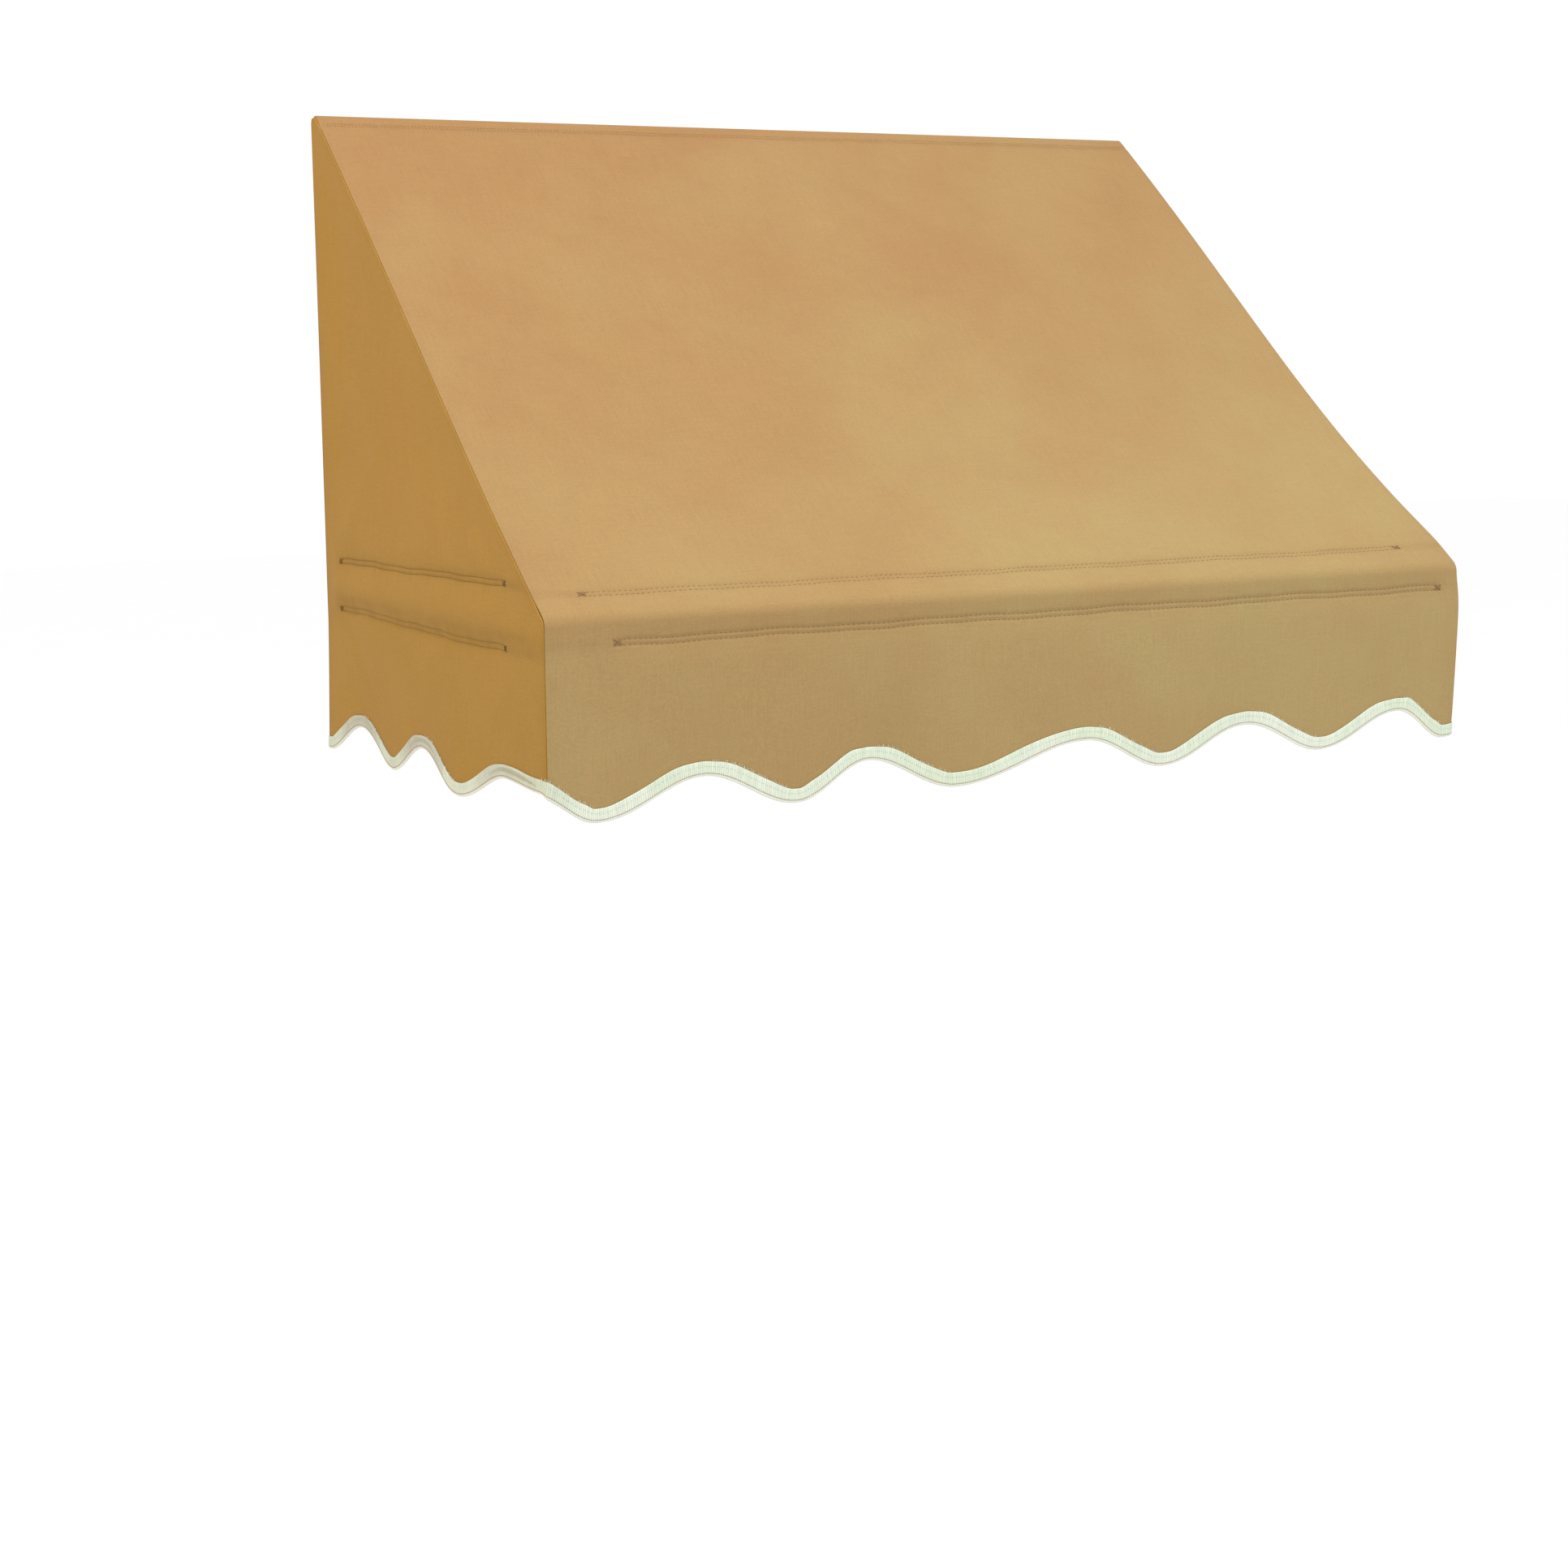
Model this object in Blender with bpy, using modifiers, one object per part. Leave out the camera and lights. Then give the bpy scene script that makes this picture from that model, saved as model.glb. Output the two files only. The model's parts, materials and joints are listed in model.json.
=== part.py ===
"""Window awning: a cloth canopy with a scalloped valance, held off the wall by a fixed tube frame.

The wall is the plane y = 0 and the awning stands out of it towards -Y. X runs along the wall and
Z is up. The origin is the middle of the wall face of the centre hook bracket, just under the top
hem. Everything is in metres.

The head rod runs in the top hem and hangs in three hook brackets. The front bar and the two arms
form a level U that is slipped into cloth sleeves and bolted to a bracket at each rear end. A flat
stay on each side carries the weight of the front from a smaller bracket higher up the wall.
"""

import math

import bmesh
import bpy
from mathutils import Matrix, Vector

# Driving dimensions
WIDTH = 1.220  # outside of one side panel to outside of the other
PROJECTION = 0.720  # wall to the outside of the valance
SLOPE_DROP = 0.585  # top of the hem down to the front fold
VALANCE = 0.210  # front fold down to the lowest points of the cloth
SCALLOP = 0.038  # height of a scallop, lowest to highest point
CLOTH = 0.0012
GAP = 0.0003  # between pieces that touch or are sewn together

# Frame
TUBE_R = 0.0125
TUBE_WALL = 0.0012
ROD_R = 0.0060
ARM_X = 0.590  # centre of each arm from the middle of the awning
BEND_R = 0.035  # centre line of the corner elbows
SHOULDER = 0.0015  # straight length of each elbow between its bend and the tube's end
SPIGOT = 0.018  # from the bend to the end of each elbow spigot, inside its tube
SPIGOT_R = TUBE_R - TUBE_WALL - GAP
SLEEVE_CLEARANCE = 0.0012  # slack between a tube and the cloth around it
ARM_REAR_Y = -0.008
ELBOW_SCREW_R = 0.0017
PLUG = (0.0075, 0.0020)  # depth in the arm, thickness of the flange outside it

# Hook brackets and head rod
HOOK_X = (-0.500, 0.0, 0.500)
HOOK_SHEET = 0.0020
HOOK_WIDTH = 0.016
HOOK_PLATE = (0.030, 0.050)  # width and height
HOOK_PLATE_CORNER = 0.003
HOOK_SCREWS = (0.0115, -0.0150)  # heights of the two wall screws
HOOK_SCREW_R = 0.0024
ROD_INSET = 0.012  # from the inside of a side panel to the rod's end
CAP = (0.0014, 0.0120)  # end wall and depth of the rod's caps
ROD_CENTRE = Vector((0.0, -0.0135, 0.028))
HEM_R = 0.0102  # outside of the cloth around the rod
HEM_TUNNEL = 0.018  # from the rod down the slope to the hem's stitching
HEM_MARGIN = 0.010
HEM_NOTCH = (0.022, 0.009)  # opening in the hem for each hook: width and height

# Stays and their fasteners
STAY = (0.020, 0.0030)
STAY_BOLT_INSET = 0.012  # from the end of the elbow spigot to the stay's bolt
STAY_TOP = (-0.022, -0.105)  # y and z of the bolt at the wall end
BRACKET_SHEET = 0.0025
BRACKET_BEND_R = 0.004  # inside the bend
ARM_BRACKET = (0.040, 0.060, 0.036)  # width on the wall, height, reach off the wall
STAY_BRACKET = (0.032, 0.045, 0.034)
WALL_SCREW_R = 0.0028
WALL_SCREW_SPREAD = 0.6  # distance between the two screws, as a share of the bracket's height
BOLT_R = 0.0030
BOLT_HOLE_R = BOLT_R + GAP
BOLT_HEAD = (0.0055, 0.0033)  # radius and height
BOLT_SPARE = 0.0020  # end of the bolt beyond its nut
NUT = (0.0100, 0.0050)  # width across the flats, height
ARM_BOLT_Y = -0.022

# Edge binding
TAPE = 0.0007
TAPE_UP = 0.013
TAPE_DOWN = 0.002

# Sleeve seams, measured from the front fold or from the arm's centre
FRONT_SEAM_UP = 0.038
FRONT_SEAM_DOWN = 0.024
FRONT_SLEEVE_HALF = 0.534
SIDE_SEAM = 0.036
SIDE_SLEEVE_Y = (-0.055, -0.605)
SEAM_MARGIN = 0.010

# Turning points of the scalloped edge, along the developed edge from the left end at the wall:
# a low point, a high point, and so on, round both corners to the right end at the wall.
EDGE_TURNS = (
    (0.010, 0.120, 0.235, 0.345, 0.470, 0.590)  # left side
    + (0.775, 0.900, 1.010, 1.100, 1.210, 1.385, 1.490, 1.615, 1.725, 1.855, 1.915)  # front
    + (2.060, 2.190, 2.315, 2.425, 2.540, 2.650)  # right side
)
EDGE_STEP = 0.018

HALF = WIDTH / 2
SIDE_IN_X = HALF - CLOTH
FOLD_R = TUBE_R + SLEEVE_CLEARANCE + CLOTH
HEM_TOP_Z = ROD_CENTRE.z + HEM_R
FOLD_Z = HEM_TOP_Z - SLOPE_DROP
LOW_EDGE_Z = FOLD_Z - VALANCE
BAR_Y = -(PROJECTION - FOLD_R)


# ---------------------------------------------------------------- plane geometry in (y, z)


def on_circle(centre, radius, degrees):
    """The point at an angle counted from +Y (towards the wall) up to +Z."""
    angle = math.radians(degrees)
    return Vector((centre[0] + radius * math.cos(angle), centre[1] + radius * math.sin(angle)))


def arc(centre, radius, start, end, step=12.0):
    """Points along an arc between two angles in degrees, both ends included."""
    count = max(2, math.ceil(abs(end - start) / step))
    return [on_circle(centre, radius, start + (end - start) * i / count) for i in range(count + 1)]


def tangent_angle(centre, radius, point, side):
    """Where the line from a point touches a circle, as an angle in degrees; side is +1 or -1."""
    offset = Vector(point) - Vector(centre)
    towards = math.degrees(math.atan2(offset.y, offset.x))
    return towards + side * math.degrees(math.acos(radius / offset.length))


def turned_back(angle, limit):
    """The same direction as an angle no more than a full turn below a limit."""
    return limit - (limit - angle) % 360


def slope_normal(bar):
    """Angle of the slope's outward normal: one line touches the hem round the rod and the fold."""
    offset = Vector((ROD_CENTRE.y, ROD_CENTRE.z)) - Vector(bar)
    towards = math.degrees(math.atan2(offset.y, offset.x))
    return towards + math.degrees(math.acos((FOLD_R - HEM_R) / offset.length))


def bar_centre():
    """The front bar's centre, so that slope and valance would meet at FOLD_Z if they were sharp."""
    z = FOLD_Z
    for _ in range(20):
        half_turn = math.radians(180 - slope_normal((BAR_Y, z))) / 2
        z = FOLD_Z - FOLD_R * math.tan(half_turn)
    return (BAR_Y, z)


BAR = bar_centre()
ROD = (ROD_CENTRE.y, ROD_CENTRE.z)
NORMAL = slope_normal(BAR)
OUTWARD = on_circle((0, 0), 1, NORMAL)
DOWNHILL = on_circle((0, 0), 1, NORMAL + 90)


def outer_profile():
    """The canopy's outer line from the top of the wall side of the hem down to the front fold."""
    return arc(ROD, HEM_R, 0, NORMAL) + arc(BAR, FOLD_R, NORMAL, 180)


def edge_height(distance):
    """Height of the cloth's scalloped edge at a distance along the developed edge."""
    last = len(EDGE_TURNS) - 1
    inside = min(max(distance, EDGE_TURNS[0]), EDGE_TURNS[last])
    index = next(i for i in range(last) if inside <= EDGE_TURNS[i + 1])
    before, after = EDGE_TURNS[index], EDGE_TURNS[index + 1]
    part = (1 - math.cos(math.pi * (inside - before) / (after - before))) / 2
    rise = part if index % 2 == 0 else 1 - part
    return LOW_EDGE_Z + SCALLOP * rise


def edge_run(start, end):
    """(distance, height) points of the scalloped edge between two distances."""
    count = math.ceil((end - start) / EDGE_STEP)
    places = [start + (end - start) * i / count for i in range(count + 1)]
    return [Vector((place, edge_height(place))) for place in places]


# ---------------------------------------------------------------- objects


def clear_scene():
    for obj in list(bpy.data.objects):
        bpy.data.objects.remove(obj, do_unlink=True)


def new_collection(name, hidden=False):
    collection = bpy.data.collections.new(name)
    bpy.context.scene.collection.children.link(collection)
    collection.hide_render = hidden
    return collection


def new_material(name, colour, roughness, metallic=0.0):
    material = bpy.data.materials.new(name)
    material.use_nodes = True
    shader = material.node_tree.nodes["Principled BSDF"]
    shader.inputs["Base Color"].default_value = (*colour, 1.0)
    shader.inputs["Roughness"].default_value = roughness
    shader.inputs["Metallic"].default_value = metallic
    return material


clear_scene()
PARTS = new_collection("window_awning")
CUTTERS = new_collection("cutters", hidden=True)
CANOPY = new_material("canopy_cloth", (0.56, 0.36, 0.15), 0.9)
SIDE = new_material("side_cloth", (0.48, 0.28, 0.08), 0.9)
BINDING = new_material("binding_tape", (0.78, 0.86, 0.68), 0.8)
POWDER = new_material("powder_coat", (0.82, 0.82, 0.80), 0.45)
ZINC = new_material("zinc_plate", (0.55, 0.56, 0.58), 0.35, 1.0)
PLASTIC = new_material("white_plastic", (0.80, 0.80, 0.78), 0.5)

# Local x, y and z of a flat outline laid in the YZ plane (its thickness along X), or in the XZ
# plane (its thickness along Y).
ACROSS_X = Matrix(((0, 0, 1, 0), (1, 0, 0, 0), (0, 1, 0, 0), (0, 0, 0, 1)))
ACROSS_Y = Matrix(((1, 0, 0, 0), (0, 0, -1, 0), (0, 1, 0, 0), (0, 0, 0, 1)))


def finish(obj, material, smooth=False):
    if material is None:
        CUTTERS.objects.link(obj)
        obj.hide_render = True
        obj.display_type = "WIRE"
        return obj
    PARTS.objects.link(obj)
    obj.data.materials.append(material)
    if smooth:
        obj.data.shade_smooth()
        obj.data.set_sharp_from_angle(angle=math.radians(35))
    return obj


def mesh_object(name, bm, matrix, material, smooth=False):
    mesh = bpy.data.meshes.new(name)
    bm.to_mesh(mesh)
    bm.free()
    obj = bpy.data.objects.new(name, mesh)
    obj.matrix_world = matrix
    return finish(obj, material, smooth)


def block(name, low, high, material):
    bm = bmesh.new()
    bmesh.ops.create_cube(bm, size=1.0)
    low, high = Vector(low), Vector(high)
    bmesh.ops.scale(bm, vec=high - low, verts=bm.verts)
    return mesh_object(name, bm, Matrix.Translation((low + high) / 2), material)


def rod_between(name, start, end, radius, material, segments=24):
    start, end = Vector(start), Vector(end)
    bm = bmesh.new()
    bmesh.ops.create_cone(
        bm, cap_ends=True, segments=segments, radius1=radius, radius2=radius, depth=(end - start).length
    )
    turn = (end - start).to_track_quat("Z", "Y").to_matrix().to_4x4()
    return mesh_object(name, bm, Matrix.Translation((start + end) / 2) @ turn, material, smooth=True)


def tube_between(name, start, end, material):
    """An open length of frame tube."""
    start, end = Vector(start), Vector(end)
    bm = bmesh.new()
    bmesh.ops.create_cone(
        bm, cap_ends=False, segments=32, radius1=TUBE_R, radius2=TUBE_R, depth=(end - start).length
    )
    turn = (end - start).to_track_quat("Z", "Y").to_matrix().to_4x4()
    tube = mesh_object(name, bm, Matrix.Translation((start + end) / 2) @ turn, material, smooth=True)
    add_thickness(tube, TUBE_WALL)
    return tube


def add_thickness(obj, thickness, offset=-1.0):
    solidify = obj.modifiers.new("thickness", "SOLIDIFY")
    solidify.thickness = thickness
    solidify.offset = offset
    solidify.use_even_offset = True


def flat_curve(name, outlines, thickness):
    """A filled 2D curve with the first outline's shape; any further outline is a hole in it."""
    curve = bpy.data.curves.new(name, "CURVE")
    curve.dimensions = "2D"
    curve.fill_mode = "BOTH"
    curve.extrude = thickness / 2
    for outline in outlines:
        spline = curve.splines.new("POLY")
        spline.points.add(len(outline) - 1)
        spline.use_cyclic_u = True
        for point, place in zip(spline.points, outline):
            point.co = (place[0], place[1], 0.0, 1.0)
    return bpy.data.objects.new(name, curve)


def as_mesh(source, name, matrix, material, smooth=False):
    """A mesh object in place of a curve object, with the curve's loose caps welded on."""
    PARTS.objects.link(source)
    bpy.context.view_layer.update()
    evaluated = source.evaluated_get(bpy.context.evaluated_depsgraph_get())
    mesh = bpy.data.meshes.new_from_object(evaluated)
    bm = bmesh.new()
    bm.from_mesh(mesh)
    bmesh.ops.remove_doubles(bm, verts=bm.verts, dist=1e-6)
    bmesh.ops.recalc_face_normals(bm, faces=bm.faces)
    bpy.data.objects.remove(source, do_unlink=True)
    bpy.data.meshes.remove(mesh)
    return mesh_object(name, bm, matrix, material, smooth)


def flat_solid(name, outlines, thickness, frame, offset, material):
    """A flat piece of even thickness; frame is ACROSS_X or ACROSS_Y and offset moves it that way."""
    source = flat_curve(name + "_outline", outlines, thickness)
    return as_mesh(source, name, Matrix.Translation(offset) @ frame, material)


def bent_sheet(name, profile, frame, start, end, material):
    """An open strip that follows a profile from one depth to another, given its cloth thickness."""
    bm = bmesh.new()
    rows = [[bm.verts.new((p[0], p[1], depth)) for p in profile] for depth in (start, end)]
    for i in range(len(profile) - 1):
        bm.faces.new((rows[0][i], rows[0][i + 1], rows[1][i + 1], rows[1][i]))
    sheet = mesh_object(name, bm, frame, material, smooth=True)
    add_thickness(sheet, CLOTH)
    return sheet


def turned(name, profile, matrix, material, steps=16):
    """A solid of revolution about local Z from (radius, height) points, top to bottom."""
    bm = bmesh.new()
    points = [bm.verts.new((radius, 0.0, height)) for radius, height in profile]
    for first, second in zip(points, points[1:]):
        bm.edges.new((first, second))
    obj = mesh_object(name, bm, matrix, material)
    screw = obj.modifiers.new("turn", "SCREW")
    screw.steps = steps
    screw.render_steps = steps
    screw.use_merge_vertices = True
    screw.merge_threshold = 0.0001
    screw.use_smooth_shade = False
    return obj


def combine(obj, other, operation):
    boolean = obj.modifiers.new(operation.lower() + "_" + other.name, "BOOLEAN")
    boolean.operation = operation
    boolean.object = other
    boolean.solver = "EXACT"


def circle(centre, radius, count=20):
    return [on_circle(centre, radius, 360 * i / count) for i in range(count)]


# ---------------------------------------------------------------- cloth


def make_top_panel():
    """One cloth: hem tunnel round the rod, slope, front fold and valance, with a scalloped edge."""
    slope_top = on_circle(ROD, HEM_R, NORMAL)
    inset = 2 * CLOTH + GAP
    seam = slope_top + DOWNHILL * HEM_TUNNEL - OUTWARD * inset
    leaves = turned_back(tangent_angle(ROD, HEM_R, seam, 1), NORMAL)
    profile = [seam + DOWNHILL * HEM_MARGIN, seam]
    profile += arc(ROD, HEM_R, leaves, NORMAL)
    profile += arc(BAR, FOLD_R, NORMAL, 180)
    profile.append(Vector((-PROJECTION, LOW_EDGE_Z - SCALLOP)))
    reach = SIDE_IN_X - GAP
    panel = bent_sheet("top_panel", profile, ACROSS_X, -reach, reach, CANOPY)

    run = edge_run(PROJECTION, PROJECTION + WIDTH)
    below = LOW_EDGE_Z - 3 * SCALLOP
    outline = [Vector((p.x - PROJECTION - HALF, p.y)) for p in run]
    outline[0].x -= GAP
    outline[-1].x += GAP
    outline += [Vector((outline[-1].x, below)), Vector((outline[0].x, below))]
    scallops = flat_solid(
        "scallop_cutter", [outline], 0.05, ACROSS_Y, (0, -PROJECTION + CLOTH / 2, 0), None
    )
    combine(panel, scallops, "DIFFERENCE")

    half_width, height = HEM_NOTCH[0] / 2, HEM_NOTCH[1]
    notch_top = ROD_CENTRE.z - ROD_R / 2
    for index, x in enumerate(HOOK_X):
        low = (x - half_width, ROD_CENTRE.y - CLOTH, notch_top - height)
        high = (x + half_width, 3 * CLOTH, notch_top)
        combine(panel, block(f"hem_notch_{index + 1}", low, high, None), "DIFFERENCE")


def side_run(side):
    """The side's edge as (y, z) points, from the wall end to the corner."""
    if side < 0:
        return [Vector((-p.x, p.y)) for p in edge_run(-ROD_CENTRE.y - HEM_R, PROJECTION)]
    whole = 2 * PROJECTION + WIDTH
    run = edge_run(PROJECTION + WIDTH, whole + ROD_CENTRE.y + HEM_R)
    return [Vector((p.x - whole, p.y)) for p in reversed(run)]


def make_side_panel(name, side):
    """A flat trapezoid of cloth with a hanging lower part, sewn to the slope and the valance."""
    outline = outer_profile() + list(reversed(side_run(side)))
    flat_solid(name, [outline], CLOTH, ACROSS_X, (side * (HALF - CLOTH / 2), 0, 0), SIDE)


def edge_stations():
    """Points along the middle of the cloth's edge, each with the outward direction in plan."""
    mid_x, mid_y = HALF - CLOTH / 2, -PROJECTION + CLOTH / 2
    corner_z = (edge_height(PROJECTION), edge_height(PROJECTION + WIDTH))
    left = [(Vector((-mid_x, p.x, p.y)), Vector((-1, 0, 0))) for p in side_run(-1)[:-1]]
    left.append((Vector((-mid_x, mid_y, corner_z[0])), Vector((-1, -1, 0))))
    run = edge_run(PROJECTION, PROJECTION + WIDTH)[1:-1]
    front = [(Vector((p.x - PROJECTION - HALF, mid_y, p.y)), Vector((0, -1, 0))) for p in run]
    right = [(Vector((mid_x, p.x, p.y)), Vector((1, 0, 0))) for p in side_run(1)[:-1]]
    right.append((Vector((mid_x, mid_y, corner_z[1])), Vector((1, -1, 0))))
    return left + front + right[::-1]


def make_edge_binding():
    """One tape folded over the scalloped edge, round both corners from wall to wall."""
    slot = CLOTH / 2 + GAP
    skin = slot + TAPE
    section = [(skin, TAPE_UP), (skin, -TAPE_DOWN), (-skin, -TAPE_DOWN), (-skin, TAPE_UP)]
    section += [(-slot, TAPE_UP), (-slot, -2 * GAP), (slot, -2 * GAP), (slot, TAPE_UP)]
    bm = bmesh.new()
    rings = []
    for point, outward in edge_stations():
        ring = [point + outward * across + Vector((0, 0, rise)) for across, rise in section]
        rings.append([bm.verts.new(place) for place in ring])
    for first, second in zip(rings, rings[1:]):
        for i in range(len(section)):
            j = (i + 1) % len(section)
            bm.faces.new((first[i], first[j], second[j], second[i]))
    bm.faces.new(rings[0])
    bm.faces.new(rings[-1])
    bmesh.ops.recalc_face_normals(bm, faces=bm.faces)
    mesh_object("edge_binding", bm, Matrix.Identity(4), BINDING)


def make_front_sleeve():
    """The strip behind the front bar, sewn to the slope above the fold and to the valance below."""
    wrap_r = TUBE_R + SLEEVE_CLEARANCE
    corner = Vector((-PROJECTION, FOLD_Z))
    upper = corner - DOWNHILL * FRONT_SEAM_UP - OUTWARD * (CLOTH + GAP)
    lower = Vector((-PROJECTION + CLOTH + GAP, FOLD_Z - FRONT_SEAM_DOWN))
    begin = tangent_angle(BAR, wrap_r, upper, -1)
    end = turned_back(tangent_angle(BAR, wrap_r, lower, 1), begin)
    profile = [upper - DOWNHILL * SEAM_MARGIN, upper]
    profile += arc(BAR, wrap_r, begin, end)
    profile += [lower, lower - Vector((0, SEAM_MARGIN))]
    bent_sheet("front_bar_sleeve", profile, ACROSS_X, -FRONT_SLEEVE_HALF, FRONT_SLEEVE_HALF, CANOPY)


def make_arm_sleeve(name, side):
    """The strip on the inner side of an arm, sewn to the side panel above and below it."""
    wrap_r = TUBE_R + SLEEVE_CLEARANCE
    centre = (ARM_X, BAR[1])
    cloth_x = SIDE_IN_X - GAP
    upper = Vector((cloth_x, BAR[1] + SIDE_SEAM))
    lower = Vector((cloth_x, BAR[1] - SIDE_SEAM))
    begin = tangent_angle(centre, wrap_r, upper, 1)
    end = tangent_angle(centre, wrap_r, lower, -1) + 360
    profile = [lower - Vector((0, SEAM_MARGIN)), lower]
    profile += arc(centre, wrap_r, end, begin)
    profile += [upper, upper + Vector((0, SEAM_MARGIN))]
    if side < 0:
        profile = [Vector((-p.x, p.y)) for p in reversed(profile)]
    rear, front = SIDE_SLEEVE_Y
    bent_sheet(name, profile, ACROSS_Y, -rear, -front, SIDE)


# ---------------------------------------------------------------- frame


def make_elbow(name, side):
    """A solid corner piece: a quarter bend with a spigot at each end that plugs into a tube."""
    z = BAR[1]
    centre = Vector((side * (ARM_X - BEND_R), BAR_Y + BEND_R, z))
    bend = []
    for step in range(10):
        angle = math.radians(10 * step)
        bend.append(centre + Vector((side * BEND_R * math.cos(angle), -BEND_R * math.sin(angle), 0)))
    straight = (SPIGOT, SHOULDER, SHOULDER - GAP)
    rear = [bend[0] + Vector((0, length, 0)) for length in straight]
    front = [bend[-1] - Vector((side * length, 0, 0)) for length in reversed(straight)]
    points = rear + bend + front
    thin = SPIGOT_R / TUBE_R
    curve = bpy.data.curves.new(name, "CURVE")
    curve.dimensions = "3D"
    curve.bevel_depth = TUBE_R
    curve.bevel_resolution = 5
    curve.use_fill_caps = True
    spline = curve.splines.new("POLY")
    spline.points.add(len(points) - 1)
    for index, (point, place) in enumerate(zip(spline.points, points)):
        point.co = (*place, 1.0)
        point.radius = thin if index < 2 or index > len(points) - 3 else 1.0
    source = bpy.data.objects.new(name + "_curve", curve)
    return as_mesh(source, name, Matrix.Identity(4), PLASTIC, smooth=True)


def elbow_screw(name, x, y, tube, elbow):
    """A self-tapping screw up through tube and spigot from below, with its hole in both."""
    shank_r, head_r, under_head = ELBOW_SCREW_R, 0.0036, -GAP
    profile = [(0, 0.0094), (0.7 * shank_r, 0.0076), (shank_r, 0.0064), (shank_r, under_head)]
    profile += [(head_r, under_head), (head_r, -0.0010), (0.7 * head_r, -0.0020), (0, -0.0022)]
    underside = BAR[1] - TUBE_R
    turned(name, profile, Matrix.Translation((x, y, underside)), ZINC)
    low, high = (x, y, underside - 0.0020), (x, y, underside + 0.0112)
    bore = rod_between(name + "_hole", low, high, shank_r + GAP, None, segments=16)
    combine(tube, bore, "DIFFERENCE")
    combine(elbow, bore, "DIFFERENCE")


def make_u_frame():
    """Front bar, two arms, two corner elbows and their screws."""
    z = BAR[1]
    bar_end = ARM_X - BEND_R - SHOULDER
    front_bar = tube_between("front_bar", (-bar_end, BAR_Y, z), (bar_end, BAR_Y, z), POWDER)
    arm_front = BAR_Y + BEND_R + SHOULDER
    for side, word in ((-1, "left"), (1, "right")):
        x = side * ARM_X
        arm = tube_between(f"arm_{word}", (x, ARM_REAR_Y, z), (x, arm_front, z), POWDER)
        elbow = make_elbow(f"elbow_{word}", side)
        elbow_screw(f"elbow_screw_{word}_side", x, arm_front + SPIGOT / 2, arm, elbow)
        front_x = side * (bar_end - SPIGOT / 2)
        elbow_screw(f"elbow_screw_{word}_front", front_x, BAR_Y, front_bar, elbow)
        make_arm_fixings(word, side, arm)
        make_stay(word, side, arm)


def angle_bracket(name, side, ear_x, centre_z, size, bolt_y):
    """A bent angle: a plate on the wall with two screw holes, and an ear standing out of it."""
    width, height, reach = size
    sheet, bend_r = BRACKET_SHEET, BRACKET_BEND_R
    flat_from = sheet + bend_r
    bend = (flat_from, -flat_from)
    outline = arc(bend, flat_from, 180, 90, 30) + [Vector((width, 0)), Vector((width, -sheet))]
    outline += arc(bend, bend_r, 90, 180, 30) + [Vector((sheet, -reach)), Vector((0, -reach))]
    outline = [(ear_x - side * point.x, point.y) for point in outline]
    source = flat_curve(name + "_outline", [outline], height)
    bracket = as_mesh(source, name, Matrix.Translation((0, 0, centre_z)), ZINC)
    hole_x = ear_x - side * (width + flat_from) / 2
    for index, share in enumerate((-WALL_SCREW_SPREAD / 2, WALL_SCREW_SPREAD / 2)):
        z = centre_z + share * height
        hole_name = f"{name}_screw_hole_{index + 1}"
        hole = rod_between(
            hole_name, (hole_x, -2 * sheet, z), (hole_x, sheet, z), WALL_SCREW_R, None, segments=16
        )
        combine(bracket, hole, "DIFFERENCE")
    combine(bracket, cross_bore(name + "_bolt_hole", ear_x, bolt_y, centre_z), "DIFFERENCE")


def cross_bore(name, x, y, z):
    """A cutter along X for a bolt through an arm or the ear of a bracket."""
    reach = 1.5 * TUBE_R
    return rod_between(name, (x - reach, y, z), (x + reach, y, z), BOLT_HOLE_R, None)


def along_x(side, x, y, z):
    """A frame whose local Z points outwards, away from the middle of the awning."""
    return Matrix.Translation((x, y, z)) @ Matrix.Rotation(side * math.pi / 2, 4, "Y")


def bolt(name, side, head_x, nut_x, y, z):
    """A round-headed bolt from the face under its head through the nut that starts at nut_x."""
    head_r, head_h = BOLT_HEAD
    chamfer = 0.2 * BOLT_R
    length = head_x - nut_x + NUT[1] + BOLT_SPARE
    profile = [(0, head_h), (0.55 * head_r, 0.92 * head_h), (0.9 * head_r, 0.6 * head_h)]
    profile += [(head_r, 0.1 * head_h), (head_r, 0), (BOLT_R, 0), (BOLT_R, chamfer - length)]
    profile += [(BOLT_R - chamfer, -length), (0, -length)]
    turned(name, profile, along_x(side, side * head_x, y, z), ZINC)


def nut(name, outer_x, side, y, z):
    """A hexagon nut; outer_x is its face towards the outside of the awning."""
    across, height = NUT
    hexagon = circle((0, 0), across / math.sqrt(3), 6)
    source = flat_curve(name + "_outline", [hexagon, circle((0, 0), BOLT_HOLE_R, 16)], height)
    as_mesh(source, name, along_x(side, outer_x - side * height / 2, y, z), ZINC)


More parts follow.
